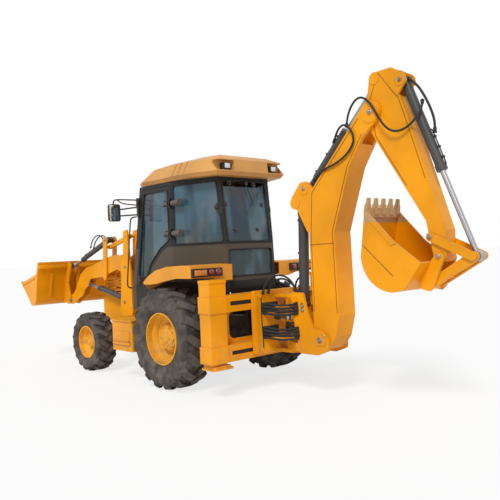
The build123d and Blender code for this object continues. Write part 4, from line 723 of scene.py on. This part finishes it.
# %% Pin ends
# body, distance of the pin's face from the middle, bolt size, place of the pin
PIN_ENDS = [
    ("boom", 157, 30, (-2760, 3190)),
    ("boom", 157, 24, (-1760, 2470)),
    ("swing_post", 197, 32, (-1950, 680)),
    ("swing_post", 197, 19, (-1560, 1085)),
    ("dipper", 107, 24, (-3120, 3465)),
    ("dipper", 129, 24, (-3400, 1815)),
    ("dipper", 138, 24, (-3490, 1620)),
    ("bucket_pins", 602, 24, (3480, 1045)),
    ("tilt_pins", 602, 24, (2190, 2040)),
    ("chassis", 608, 24, (1600, 1600)),
    ("chassis", 608, 24, (1640, 1060)),
]
# size and places of the bolts that only the swing post has
POST_BOLTS = [
    (20, [(-1930, 193, 705), (-2010, 193, 735)]),
    (34, [(-1685, 172, 1022), (-1685, 172, 1076)]),
]
POST_PLATE = ((-1685, 168, 1050), (50, 10, 112))     # middle and size
pin_parts = {}
for body, face, size, (x, z) in PIN_ENDS:
    collar_line = [(1.05 * size, 0), (1.05 * size, 3), (0.95 * size, 5), (0.8 * size, 5)]
    for sign in (1, -1):
        parts = bolts(size, [(x, sign * face, z)], (0, sign, 0))
        parts.append(turned(collar_line, 20, spot(x, sign * face, z), (0, sign, 0)))
        pin_parts.setdefault(body, []).extend(parts)
plate_middle, plate_size = POST_PLATE
for sign in (1, -1):
    for size, places in POST_BOLTS:
        places = [on_side(place, sign) for place in places]
        pin_parts["swing_post"] += bolts(size, places, (0, sign, 0))
    pin_parts["swing_post"].append(block(on_side(plate_middle, sign), plate_size, 3))
for body, parts in pin_parts.items():
    finished(f"{body}_pin_ends", "pin", body, parts)
print("bodies with pin ends:", len(pin_parts))

# %% [markdown]
# The side walls of the cab are flat boards seen from above, and its rear and front lean a little.
# So the face of each wall is a line of two or three points, and one function reads the place of the
# face from it. An outline of a window gets each corner replaced by a short curve.

# %% Walls and outlines
SIDE_WALL = [(-650, 420), (180, 705), (1300, 660)]     # X and distance from the middle
REAR_WALL = [(1380, -648), (1910, -620), (2750, -530)]     # Z and X
FRONT_WALL = [(1200, 1300), (2750, 975)]     # Z and X
CURVE_SHARES = (0, 0.25, 0.5, 0.75, 1)


def on_line(line, at):
    """The second number of a line of points, where the first number has a value."""
    for (start, low), (end, high) in zip(line, line[1:]):
        if at < end:
            break
    return low + (at - start) * (high - low) / (end - start)


def wall(x):
    """Distance of the side wall's outer face from the middle."""
    return on_line(SIDE_WALL, x)


def rear_face(z):
    """Where the cab's rear lies at a height."""
    return on_line(REAR_WALL, z)


def front_face(z):
    """Where the cab's front lies at a height."""
    return on_line(FRONT_WALL, z)


def rounded(points, radius):
    """A closed outline with each corner replaced by a short curve."""
    smooth = []
    for n, corner in enumerate(points):
        here = Vector(corner)
        ends = []
        for other in (points[n - 1], points[(n + 1) % len(points)]):
            ends.append(here + (Vector(other) - here).normalized() * radius)
        for share in CURVE_SHARES:
            first = ends[0].lerp(here, share)
            second = here.lerp(ends[1], share)
            smooth.append(tuple(first.lerp(second, share)))
    return smooth


# %% [markdown]
# Every pane sits in a black rubber seal. The seals follow the outlines of the openings and lie half
# sunk in the face of the cab, so each is a closed tube. The door's seal is a piece of its own,
# because it opens with the door.

# %% Window seals
QUARTER = [(140, 2690), (-515, 2690), (-590, 1890), (140, 1890)]
DOOR_PANE = [(252, 2645), (252, 1950), (485, 1850), (765, 1625), (870, 1450), (1111, 1450), (870, 2645)]
REAR_UPPER = [(385, 1890), (-385, 1890), (-385, 2700), (385, 2700)]
REAR_LOWER = [(385, 1440), (-385, 1440), (-385, 1790), (385, 1790)]
FRONT_PANE = [(590, 1330), (-590, 1330), (-590, 2680), (590, 2680)]
SEAL = 10.0
CORNER = 45
FRONT_CORNER = 60


def seal(points):
    """A rubber seal, closed on itself."""
    return tube(points, SEAL, smooth=False, closed=True)


def side_seal(outline, sign):
    """The seal round an opening in a side wall."""
    return seal([(x, sign * (wall(x) + 1), z) for x, z in rounded(outline, CORNER)])


seals = []
for side, sign in SIDES:
    seals.append(side_seal(QUARTER, sign))
    door_seal = side_seal(DOOR_PANE, sign)
    finished(f"door_seal_{side}", "hose", f"door_{side}", [door_seal])
for shape in (REAR_UPPER, REAR_LOWER):
    seals.append(seal([(rear_face(z) - 1, y, z) for y, z in rounded(shape, CORNER)]))
seals.append(seal([(front_face(z) + 1, y, z) for y, z in rounded(FRONT_PANE, FRONT_CORNER)]))
finished("window_seals", "hose", "chassis", seals)
print("seals:", len(seals) + len(SIDES))

# %% [markdown]
# The frameless rear window hangs on brackets and is held by round clamps through the glass, and the
# quarter windows have a dark latch plate. A clamp is one turned button, used at every place. The
# latch is a flat outline that a Solidify modifier makes thick.

# %% Window fittings
CLAMPS = [(350, 2391), (-300, 2387), (232, 2047), (-165, 2044)]
BRACKETS = [(271, 2672), (-165, 2668)]
BRACKET = (26, 70, 62)
BRACKET_CLAMP_DROP = 20
CLAMP_LINE = [(0, 16), (14, 16), (24, 11), (27, 4), (27, 0)]
LATCH = [(-585, 2315), (-545, 2425), (-470, 2352), (-555, 2225)]
LATCH_CORNER = 22
LATCH_BUTTON = (-520, 2348)
LATCH_THICKNESS = 0.016


def latch(sign):
    """The plate of a quarter window's latch."""
    corners = rounded(LATCH, LATCH_CORNER)
    outline = [tuple(spot(x, sign * (wall(x) - 4), z)) for x, z in corners]
    mesh = bpy.data.meshes.new("latch")
    mesh.from_pydata(outline, [], [tuple(range(len(outline)))])
    piece = added("latch", mesh)
    thick = piece.modifiers.new("thick", "SOLIDIFY")
    thick.thickness = LATCH_THICKNESS
    thick.offset = 0
    only(piece)
    bpy.ops.object.convert(target="MESH")
    return bpy.context.object


fittings = [turned(CLAMP_LINE, 20, spot(rear_face(z) + 12, y, z), (-1, 0, 0.08)) for y, z in CLAMPS]
for y, z in BRACKETS:
    below = z - BRACKET_CLAMP_DROP
    fittings.append(block((rear_face(z) - 6, y, z), BRACKET, 8))
    fittings.append(turned(CLAMP_LINE, 16, spot(rear_face(below) - 18, y, below), (-1, 0, 0)))
for sign in (1, -1):
    x, z = LATCH_BUTTON
    fittings.append(latch(sign))
    fittings.append(turned(CLAMP_LINE, 16, spot(x, sign * (wall(x) + 4), z), (0.3, sign, 0)))
finished("window_fittings", "plastic", "chassis", fittings)
print("window fittings:", len(fittings))

# %% [markdown]
# The doors turn on heavy covered hinges. The barrel of a hinge stays with the cab and its arm goes
# with the door, so they are two pieces with a gap between them. A lever handle, bent from one rod,
# sits low on each door.

# %% Door hinges and handles
HINGE_HEIGHTS = (2450, 2040)
# X of the barrel's points, its Y and radius, then middle, size and edge of each block, where the
# middle's height is measured from the hinge
FIXED_HALF = ((-50, 0, 60, 112), 728, 34, [
    ((28, 700, 0), (168, 40, 84), 10),
    ((-20, 726, 34), (40, 30, 26), 6),
])
MOVING_HALF = ((212, 250, 300), 724, 28, [
    ((290, 716, 0), (80, 30, 66), 8),
    ((318, 734, -22), (34, 22, 30), 6),
])
GRIP = [(1090, 4, 1400), (1090, 46, 1404), (1040, 52, 1404), (970, 46, 1400)]     # Y from the wall
GRIP_PLATE = (52, 16, 110)


def hinge_half(barrel, y, radius, blocks, sign):
    """What one half of a door's hinges is made of, at both heights."""
    parts = []
    for height in HINGE_HEIGHTS:
        parts.append(tube([(x, sign * y, height) for x in barrel], radius, fineness=5))
        for (x, off, rise), size, edge in blocks:
            parts.append(block((x, sign * off, height + rise), size, edge))
    return parts


for side, sign in SIDES:
    covers = hinge_half(*FIXED_HALF, sign)
    finished(f"hinge_covers_{side}", "cover", "chassis", covers)
    arms = hinge_half(*MOVING_HALF, sign)
    finished(f"hinge_arms_{side}", "cover", f"door_{side}", arms)
    bends = [(x, sign * (wall(x) + off), z) for x, off, z in GRIP]
    rod = tube(bends, 9)
    plate = block(bends[0], GRIP_PLATE, 7)
    finished(f"door_handle_{side}", "plastic", f"door_{side}", [rod, plate])
print("doors with hinges:", len(SIDES))

# %% [markdown]
# A wiper lies across the rear window: a motor box at the top, a bent arm and a straight blade. The
# arm stands a little off the glass, as it does when the blade presses on it.

# %% Rear wiper
wiper_arm = [
    (rear_face(2660) - 12, -20, 2668),
    (rear_face(2560) - 24, -60, 2560),
    (rear_face(2420) - 16, -120, 2400),
]
wiper_blade = [(rear_face(2560) - 12, -250, 2560), (rear_face(2250) - 12, -20, 2250)]
wiper_motor = (rear_face(2668) - 14, -20, 2672)
MOTOR_BOX = (40, 60, 50)
wiper = [tube(wiper_arm, 7), tube(wiper_blade, 6, smooth=False), block(wiper_motor, MOTOR_BOX, 10)]
finished("rear_wiper", "plastic", "chassis", wiper)
print("wiper parts:", len(wiper))

# %% [markdown]
# Lamps are clear or coloured lenses in black housings. The lens is a turned dome or a block with
# rounded edges, and its material carries the fine ribs that spread the light.

# %% Lenses
# places on the left side, and the sizes of those that aren't turned
REAR_LENS, REAR_LENS_SIZE = (-702, 415, 2870), (12, 84, 62)
FRONT_LENS, FRONT_LENS_SIZE = (1080, 415, 2868), (12, 92, 88)
FRONT_LENS_LEAN = radians(-4)
NOSE_LENS = (2703, 265, 965)
NOSE_LENS_LINE = [(0, 16), (30, 13), (52, 5), (58, 0)]
TAIL_LENSES = [(-767, 690, 1514), (-767, 800, 1514)]
TAIL_LENS_LINE = [(0, 15), (18, 14), (32, 9), (39, 0)]
SIGNAL_LENS, SIGNAL_LENS_SIZE = (-771, 978, 1514), (14, 186, 70)


def lenses(side, sign):
    """The lenses of one side, as three pieces by their colour."""
    lean = (0, FRONT_LENS_LEAN, 0)
    work = [block(on_side(REAR_LENS, sign), REAR_LENS_SIZE, 5)]
    work.append(block(on_side(FRONT_LENS, sign), FRONT_LENS_SIZE, 5, turn=lean))
    work.append(turned(NOSE_LENS_LINE, 28, spot(*on_side(NOSE_LENS, sign)), (1, 0, 0)))
    finished(f"work_lenses_{side}", "lens", "chassis", work)
    places = [spot(*on_side(place, sign)) for place in TAIL_LENSES]
    red = [turned(TAIL_LENS_LINE, 28, place, (-1, 0, 0)) for place in places]
    finished(f"tail_lenses_{side}", "red_lens", "chassis", red)
    amber = [block(on_side(SIGNAL_LENS, sign), SIGNAL_LENS_SIZE, 6)]
    finished(f"signal_lenses_{side}", "amber_lens", "chassis", amber)


# %% [markdown]
# A mirror hangs from two bent rods on the front pillar, and a long grab rail runs down the pillar
# beside the door. Each is a tube along the points where the real rod bends. The mirror's glass is a
# thin block with the brightest steel there is, set in the housing that the frame has.

# %% Mirrors and grab rails
UPPER_ROD = [(1013, 696, 2572), (1060, 780, 2578), (1130, 900, 2584),
             (1166, 985, 2588), (1168, 1010, 2560), (1168, 1010, 2512)]
LOWER_ROD = [(1013, 696, 2500), (1060, 780, 2508), (1120, 880, 2520),
             (1150, 930, 2560), (1156, 950, 2584)]
GRAB_RAIL = [(1090, 676, 2330), (1096, 770, 2334), (1104, 778, 2270), (1180, 778, 1800),
             (1258, 778, 1340), (1270, 770, 1290), (1280, 672, 1285)]
RODS = [(UPPER_ROD, 10), (LOWER_ROD, 9), (GRAB_RAIL, 10)]     # points and radius
ROD_FOOT, ROD_FOOT_SIZE = (1010, 694, 2536), (44, 40, 130)
MIRROR_PANE, MIRROR_PANE_SIZE = (1149, 1000, 2395), (6, 168, 228)


def mirror(side, sign):
    """The glass of one side's mirror, and the rods of that side."""
    pane = [block(on_side(MIRROR_PANE, sign), MIRROR_PANE_SIZE, 2.5)]
    finished(f"mirror_face_{side}", "mirror", "chassis", pane)
    arm = [tube([on_side(point, sign) for point in points], radius) for points, radius in RODS]
    arm.append(block(on_side(ROD_FOOT, sign), ROD_FOOT_SIZE, 8))
    finished(f"mirror_arm_{side}", "plastic", "chassis", arm)


for side, sign in SIDES:
    lenses(side, sign)
    mirror(side, sign)
print("sides with lenses and a mirror:", len(SIDES))

# %% [markdown]
# Oil reaches the cylinders through black rubber hoses with steel ends. A hose is a tube on a smooth
# curve, with a crimped sleeve and a nut turned for each end and set along the hose's last stretch.

# %% Hoses
SLEEVE_LINE = [(0, 0), (1.15, 0), (1.45, 0.3), (1.45, 2.6), (1.25, 2.8), (1.25, 3.0)]
NUT_LINE = [(1.2, 2.9), (1.75, 3.0), (1.75, 4.4), (1.2, 4.5), (0, 4.5)]
SLEEVE_REACH = 2.2     # how far the sleeve starts from the hose's end, in radii
HOSE_RADIUS = 12


def hose(points, radius):
    """A hose with a sleeve and a nut at each end, as loose parts."""
    parts = [tube(points, radius)]
    for end, inner in ((points[0], points[1]), (points[-1], points[-2])):
        back = (spot(*inner) - spot(*end)).normalized()
        start = spot(*end) + back * SLEEVE_REACH * radius * MM
        for line, steps in ((SLEEVE_LINE, 12), (NUT_LINE, 6)):
            parts.append(turned(scaled(line, radius), steps, start, -back))
    return parts


# %% [markdown]
# A hose that crosses a joint is clamped on both sides of it and keeps enough slack between for the
# joint to turn. Here each such hose is one piece that rides on no body, and the two points given for
# its joint are not used. One hose goes from the boom to the dipper, and the
# others from the carriage to the swing post, four over the top and eight in a stack at the left.
# Two more stay on one body: the loop on the boom and the one at the bucket cylinder's base.

# %% Hoses across the joints
TIP_TURN = ((-2600, 0, 3300), (-2900, 0, 3060))
POST_TURN = ((-1240, 0, 1300), (-1460, 0, 1300))
STACK_TURN = ((-1240, 0, 900), (-1480, 0, 900))
TIP_HOSE = [(-2360, 40, 3130), (-2400, 70, 3230), (-2500, 110, 3340), (-2640, 150, 3390),
            (-2780, 172, 3300), (-2870, 172, 3130), (-2950, 168, 2995), (-3060, 158, 2915),
            (-3190, 140, 2930), (-3300, 110, 3020), (-3345, 60, 3130), (-3318, 10, 3200)]
BOOM_LOOP = [(-2170, 40, 2980), (-2220, 60, 3060), (-2330, 120, 3125), (-2450, 165, 3110),
             (-2540, 172, 3010), (-2560, 172, 2900), (-2470, 172, 2790), (-2320, 170, 2705),
             (-2160, 168, 2665), (-2040, 160, 2640), (-1950, 150, 2560)]
BACK_HOSE = [(-3165, 30, 3475), (-3262, 34, 3410), (-3340, 30, 3290), (-3402, 20, 3150),
             (-3436, 10, 3040), (-3446, 0, 2960), (-3440, 0, 2890)]
SWING_HOSES = [
    [(-1180, 335, 1235), (-1200, 325, 1340), (-1280, 275, 1440), (-1370, 180, 1450),
     (-1450, 110, 1380), (-1500, 100, 1290), (-1520, 100, 1228)],
    [(-1180, 240, 1240), (-1205, 235, 1330), (-1290, 200, 1400), (-1390, 140, 1400),
     (-1470, 100, 1330), (-1540, 96, 1228)],
    [(-1180, -240, 1240), (-1205, -235, 1330), (-1290, -200, 1390), (-1390, -140, 1390),
     (-1470, -100, 1330), (-1540, -96, 1228)],
    [(-1180, -335, 1235), (-1200, -325, 1330), (-1280, -275, 1420), (-1370, -180, 1430),
     (-1450, -110, 1360), (-1520, -100, 1228)],
]
# height at the carriage, radius, step inwards
STACK = [(1092, 13, 12), (1056, 15, 0), (1016, 17, 12), (976, 15, 0), (796, 13, 12), (760, 16, 0),
         (718, 17, 12), (676, 13, 0)]
# X, Y, share of the step inwards, and rise, of each point of a hose in the stack
STACK_COURSE = [(-1158, 318, 1, 0), (-1240, 312, 1, -6), (-1340, 275, 1, -20),
                (-1450, 232, 1, -22), (-1540, 208, 1, -8), (-1590, 196, 0, 4)]


def crossing(name, turn_between, points, radius=HOSE_RADIUS):
    """A hose that spans a joint, made as one piece that rides on no body."""
    start, end = turn_between
    piece = finished(name, "hose", None, hose(points, radius))
    spot(*start)
    spot(*end)
    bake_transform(piece)


crossing("boom_dipper_hose", TIP_TURN, TIP_HOSE)
for n, points in enumerate(SWING_HOSES, 1):
    crossing(f"swing_hose_{n}", POST_TURN, points)
for n, (z, radius, inward) in enumerate(STACK, 1):
    points = [(x, y - share * inward, z + rise) for x, y, share, rise in STACK_COURSE]
    crossing(f"stack_hose_{n}", STACK_TURN, points, radius)
finished("boom_loop_hose", "hose", "boom", hose(BOOM_LOOP, HOSE_RADIUS))
finished("bucket_cylinder_hose", "hose", "bucket_barrel", hose(BACK_HOSE, 13))
print("hoses across joints:", 1 + len(SWING_HOSES) + len(STACK))

# %% [markdown]
# Thin steel pipes lead the oil along the barrels, held by clips. A pipe runs parallel to the axis
# of its cylinder, so it is worked out from the cylinder's base and eye, and at both ends it dips
# towards the barrel. Above each tilt cylinder two short hoses arch from its base to its barrel.

# %% Pipes and tilt hoses
PIPE = 7.0
PIPE_BEND = 20
END_DIP = 0.88
CLIP_INSET = 90
CLIP = (26, 30, 26)
LOADER_PIPE_START = 110
LOADER_PIPE_OFF = 50
LOADER_CYLINDERS_AT = 500     # from the middle, to both sides
# body, base and eye of the cylinder, start and end along it, distance from its axis, y
PIPES = [
    ("bucket_barrel", (-3120, 3465), (-3840, 1610), 620, 1030, -66, 0),
    ("dipper_barrel", (-1760, 2470), (-2800, 3545), 120, 800, -76, 0),
    ("boom_barrel", (-1560, 1085), (-1610, 2310), 120, 1110, -78, 0),
]
# body of both cylinders, base and eye, end of the pipe
LOADER_PIPES = [
    ("lift_barrels", (1640, 1060), (2960, 1330), 930),
    ("tilt_barrels", (2190, 2040), (3430, 1635), 940),
]
TILT_LOOP = [(2330, 2050), (2370, 2115), (2480, 2135), (2640, 2080), (2740, 1980), (2765, 1905)]
# the outer hose of each pair starts further forward and sinks less
OUTER_LOOP = [(x + 40, z - 12 + 0.12 * (x - 2330)) for x, z in TILT_LOOP]
TILT_HOSES = [(TILT_LOOP, 488, 10), (OUTER_LOOP, 516, 9)]     # points, Y and radius


def pipe_along(base, eye, start, end, off, y):
    """A steel pipe beside a barrel, from one distance along it to another, off its axis."""
    along = (Vector(eye) - Vector(base)).normalized()
    aside = Vector((-along.y, along.x)) * off
    bends = ((start, END_DIP), (start + PIPE_BEND, 1), (end - PIPE_BEND, 1), (end, END_DIP))
    places = [Vector(base) + along * t + aside * share for t, share in bends]
    parts = [tube([(place.x, y, place.y) for place in places], PIPE, smooth=False)]
    for t in (start + CLIP_INSET, (start + end) / 2, end - CLIP_INSET):
        place = Vector(base) + along * t + aside
        parts.append(block((place.x, y, place.y), CLIP, 4))
    return parts


for body, *course in PIPES:
    finished(f"{body}_pipe", "axle", body, pipe_along(*course))
loops = []
for sign in (1, -1):
    for line, y, radius in TILT_HOSES:
        loops += hose([(x, sign * y, z) for x, z in line], radius)
finished("tilt_hoses", "hose", "tilt_barrels", loops)
for body, base, eye, end in LOADER_PIPES:
    parts = []
    for y in (LOADER_CYLINDERS_AT, -LOADER_CYLINDERS_AT):
        parts += pipe_along(base, eye, LOADER_PIPE_START, end, LOADER_PIPE_OFF, y)
    finished(f"{body}_pipes", "axle", body, parts)
print("pipes:", len(PIPES) + 2 * len(LOADER_PIPES))

# %% [markdown]
# The carriage slides on the rear frame. Its hoses lie on dark sheets and come out of black boxes, a
# thin line runs down its edge, and strips that take the wear lie on the frame behind it. A black
# cover fills the sill of the cab's rear. Apart from the line, they are thin blocks with narrow
# bevels, because nothing else of them shows.

# %% Carriage trim and wear strips
LINE_RADIUS = 6
CARRIAGE_LINE = [(-1158, 352, 1170), (-1163, 366, 1000), (-1161, 354, 800),
                 (-1163, 344, 600), (-1158, 346, 540)]
# middle, size and edge of each block; the beds are mirrored to the right
BEDS = [
    ((-1157, 205, 1050), (6, 286, 116), 2),
    ((-1157, 205, 738), (6, 286, 150), 2),
    ((-1161, 300, 1032), (14, 60, 70), 4),
    ((-1161, 300, 740), (14, 60, 70), 4),
]
STRIPS = [
    ((-1068, 0, 1135), (12, 1584, 46), 3),
    ((-1068, 0, 540), (12, 1584, 46), 3),
    ((-642, 0, 1166), (14, 800, 150), 5),
]
SILL = ((-658, 0, 1310), (10, 826, 146), 4)
finished("carriage_hose", "hose", "carriage", hose(CARRIAGE_LINE, LINE_RADIUS))
beds = [block(on_side(middle, sign), size, edge) for sign in (1, -1) for middle, size, edge in BEDS]
finished("hose_beds", "hose", "carriage", beds)
strips = [block(*strip) for strip in STRIPS]
finished("wear_strips", "hose", "chassis", strips)
finished("sill_cover", "frame", "chassis", [block(*SILL)])
print("blocks on the carriage and behind it:", len(beds) + len(strips))

# %% [markdown]
# Plates of an arm are joined by weld beads a little inside their edges. A bead is a thin tube laid
# on the face, in a darker paint that is a painted shade for the dark line along the plate's edge. Seen
# close it catches the light, and from far away it draws the fine line along the boom and the dipper.

# %% Weld beads
BEAD = 5
# body, face of the plate, points
BEADS = [
    ("boom", 145.5, [(-1850, 1000), (-1845, 1900), (-1885, 2405), (-2600, 3150)]),
    ("boom", 145.5, [(-2190, 1000), (-2170, 1935), (-2425, 2650), (-2640, 2975)]),
    ("dipper", 95.5, [(-2740, 3310), (-2790, 2930), (-3143, 2360)]),
    ("dipper", 95.5, [(-3080, 3310), (-3140, 3140), (-3365, 2410)]),
    ("boom", 145.5, [(-1822, 1795), (-2000, 1800), (-2192, 1800)]),
    ("dipper", 95.5, [(-2735, 3335), (-2850, 3596), (-3070, 3300)]),
    ("loader_bucket", 1120.5, [(4215, 1318), (3700, 1448)]),
    ("dig_bucket", 300.5, [(-2715, 1758), (-2880, 1607), (-3070, 1434)]),
]
bead_parts = {}
for body, face, points in BEADS:
    for sign in (1, -1):
        bead = tube([(x, sign * face, z) for x, z in points], BEAD, smooth=False, fineness=1)
        bead_parts.setdefault(body, []).append(bead)
for body, parts in bead_parts.items():
    finished(f"{body}_beads", "weld", body, parts)
print("beads:", 2 * len(BEADS))

# %% [markdown]
# The front bucket carries a stiff flange along the top of its back, broken where the tilt cylinders
# reach in, with ribs below it. Flange and ribs are blocks laid on the back, and the ribs lean with
# it. The boxes beside the cab are closed by a plate with a bolt in each corner.

# %% Bucket flange and box covers
BUCKET_BACK = [(1070, 3700), (1720, 3560)]     # Z and X
FLANGE_AT = 1640
FLANGES = [(0, 770), (862, 500), (-862, 500)]     # middle and width of each stretch
RIBS_AT = 1330
RIBS = (-862, -200, 200, 862)
RIB_LEAN = -0.212
FLANGE_DEPTH, FLANGE_HEIGHT = 46, 64
FLANGE_OFF = 22     # from the back to the flange's middle
RIB = (22, 40, 420)
RIB_OFF = 10
COVER_BOLT = 14
BOX_COVER, BOX_COVER_SIZE = (965, 1084, 632), (414, 8, 150)
COVER_BOLTS = [(x, 1088, z) for x in (778, 1152) for z in (574, 690)]
flange_x = on_line(BUCKET_BACK, FLANGE_AT) - FLANGE_OFF
flange = [
    block((flange_x, y, FLANGE_AT), (FLANGE_DEPTH, width, FLANGE_HEIGHT), 6) for y, width in FLANGES
]
rib_x = on_line(BUCKET_BACK, RIBS_AT) - RIB_OFF
flange += [block((rib_x, y, RIBS_AT), RIB, 5, turn=(0, RIB_LEAN, 0)) for y in RIBS]
finished("bucket_flange", "bucket", "loader_bucket", flange)
for side, sign in SIDES:
    plate = block(on_side(BOX_COVER, sign), BOX_COVER_SIZE, 3)
    finished(f"box_cover_{side}", "yellow", "chassis", [plate])
    screws = bolts(COVER_BOLT, [on_side(place, sign) for place in COVER_BOLTS], (0, sign, 0))
    finished(f"box_bolts_{side}", "pin", "chassis", screws)
print("flange parts:", len(flange), "box covers:", len(SIDES))

# %% [markdown]
# The driver's seat has a padded squab and a padded back. A cushion starts as a rounded block, is
# given an even skin, and is then blown up a little as cloth, so that its sides pull in between the
# corners. The cap keeps it from swelling past its place.

# %% Cushions
SKIN = 0.008     # size of the voxels
PRESSURE = 4.0
CLOTH_FRAMES = 12
SWELL = 0.008     # no point moves further
CUSHION_EDGE = 30


def blown_up(piece):
    """Gives a shape an even skin and swells it as cloth."""
    skin = piece.modifiers.new("skin", "REMESH")
    skin.mode = "VOXEL"
    skin.voxel_size = SKIN
    only(piece)
    bpy.ops.object.modifier_apply(modifier=skin.name)
    before = [vertex.co.copy() for vertex in piece.data.vertices]
    cloth = piece.modifiers.new("cloth", "CLOTH")
    cloth.settings.use_pressure = True
    cloth.settings.uniform_pressure_force = PRESSURE
    cloth.settings.effector_weights.gravity = 0.0
    for frame_number in range(1, CLOTH_FRAMES + 1):
        scene.frame_set(frame_number)
    grown = piece.evaluated_get(bpy.context.evaluated_depsgraph_get()).to_mesh()
    moved = [vertex.co.copy() for vertex in grown.vertices]
    piece.modifiers.remove(cloth)
    scene.frame_set(1)
    for vertex, start, goal in zip(piece.data.vertices, before, moved):
        step = goal - start
        vertex.co = start + step * min(1.0, SWELL / max(step.length, 1e-6))


def cushion(name, centre, size, tilt):
    """A padded block of seat cloth, crowned in the middle and tight at its seams."""
    piece = rounded_cube(size, CUSHION_EDGE, 4)
    blown_up(piece)
    smooth = piece.modifiers.new("smooth", "SUBSURF")
    smooth.levels = 1
    piece.matrix_world = Matrix.Translation(spot(*centre)) @ Matrix.Rotation(tilt, 4, "Y")
    only(piece)
    bpy.ops.object.convert(target="MESH")
    piece = finished(name, "cloth", "chassis", [bpy.context.object])
    bpy.ops.object.shade_smooth()
    return piece


# %% [markdown]
# The squab takes the place of the plain seat in the frame. It rests on a pan over a rubber bellows,
# turned from a zigzag profile, and an upright carries the back. Two armrests with their posts stand
# at the sides.

# %% Seat
SQUAB_TILT = radians(-3)
BACK_TILT = radians(-7)
ARMREST_TILT = radians(-4)
# middle, size and edge of each block, the last two on the left side
SEAT_PAN = ((340, 0, 1537), (360, 400, 18), 6)
UPRIGHT = ((150, 0, 1600), (50, 120, 180), 12)
ARMREST = ((280, 262, 1760), (240, 54, 44), 16)
ARMREST_POST = ((180, 262, 1700), (40, 26, 130), 8)
BELLOWS_FOOT = (340, 0, 1425)
BELLOWS_LINE = [(0, 0), (165, 0), (178, 12), (160, 26), (176, 42), (158, 56), (172, 72), (154, 86),
                (165, 102), (0, 104)]
squab = cushion("seat_squab", (340, 0, 1590), (420, 480, 90), SQUAB_TILT)
cushion("seat_back", (148, 0, 1925), (86, 440, 580), BACK_TILT)
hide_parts("seat")
base = [turned(BELLOWS_LINE, 40, spot(*BELLOWS_FOOT)), block(*SEAT_PAN)]
base.append(block(*UPRIGHT, turn=(0, BACK_TILT, 0)))
for sign in (1, -1):
    middle, size, edge = ARMREST
    base.append(block(on_side(middle, sign), size, edge, turn=(0, ARMREST_TILT, 0), segments=4))
    middle, size, edge = ARMREST_POST
    base.append(block(on_side(middle, sign), size, edge))
finished("seat_base", "plastic", "chassis", base)
print("points of the squab:", len(squab.data.vertices))

# %% [markdown]
# The world is white to the camera and to rays that come by way of glass or polished metal, so that
# they show a pale background. For the light itself it is only a soft grey from all round, which
# keeps the paint at the colour it is written with.

# %% White world
SKY_LIGHT = 0.46


def pale_world():
    """White for the camera, mirrors and glass, and a gentle grey for the light itself."""
    world = bpy.data.worlds.new("studio")
    scene.world = world
    world.use_nodes = True
    tree = world.node_tree
    path = tree.nodes.new("ShaderNodeLightPath")
    seen = path.outputs["Is Camera Ray"]
    for ray in ("Is Transmission Ray", "Is Glossy Ray"):
        either = tree.nodes.new("ShaderNodeMath")
        either.operation = "MAXIMUM"
        tree.links.new(seen, either.inputs[0])
        tree.links.new(path.outputs[ray], either.inputs[1])
        seen = either.outputs[0]
    level = tree.nodes.new("ShaderNodeMapRange")
    level.inputs["To Min"].default_value = SKY_LIGHT
    level.inputs["To Max"].default_value = 1.0
    tree.links.new(seen, level.inputs["Value"])
    background = tree.nodes["Background"]
    background.inputs["Color"].default_value = (1, 1, 1, 1)
    tree.links.new(level.outputs[0], background.inputs["Strength"])


pale_world()
print("sky light:", SKY_LIGHT)

# %% [markdown]
# The stage is a wide pale floor. It glows a little to the camera alone, which brings it near white
# and leaves its soft shadow in place. One broad sun from behind the machine's left side gives the
# shadows their direction.

# %% Floor and sun
FLOOR_SIDE = 400.0
FLOOR_GLOW = 0.75
SUN_LIGHT = 2.2
SUN_ELEVATION = radians(46)
SUN_AZIMUTH = radians(122)
SUN_WIDTH = radians(16)


def pale_floor():
    """A matt floor that shows as near white and still takes a soft shadow."""
    bpy.ops.mesh.primitive_plane_add(size=FLOOR_SIDE, location=(0, 0, 0))
    floor = bpy.context.object
    floor.name = "floor"
    finish = Finish("floor_white", (0.9, 0.9, 0.9), 0.9)
    matt = Value(finish, finish.shader.outputs[0])
    glow = finish.add("ShaderNodeEmission", inputs={"Color": (1, 1, 1, 1), "Strength": 1.0})
    seen = finish.add("ShaderNodeLightPath", output="Is Camera Ray")
    mix = finish.add("ShaderNodeMixShader", inputs={0: seen * FLOOR_GLOW, 1: matt, 2: glow})
    finish.feed(finish.tree.nodes["Material Output"].inputs["Surface"], mix)
    floor.data.materials.append(finish.material)


def sun():
    """A broad sun that stands in the given direction."""
    data = bpy.data.lights.new("sun", "SUN")
    data.energy = SUN_LIGHT
    data.angle = SUN_WIDTH
    towards = direction(SUN_AZIMUTH, SUN_ELEVATION)
    added("sun", data).rotation_euler = towards.to_track_quat("Z", "Y").to_euler()


pale_floor()
sun()
print("stage and light are up")
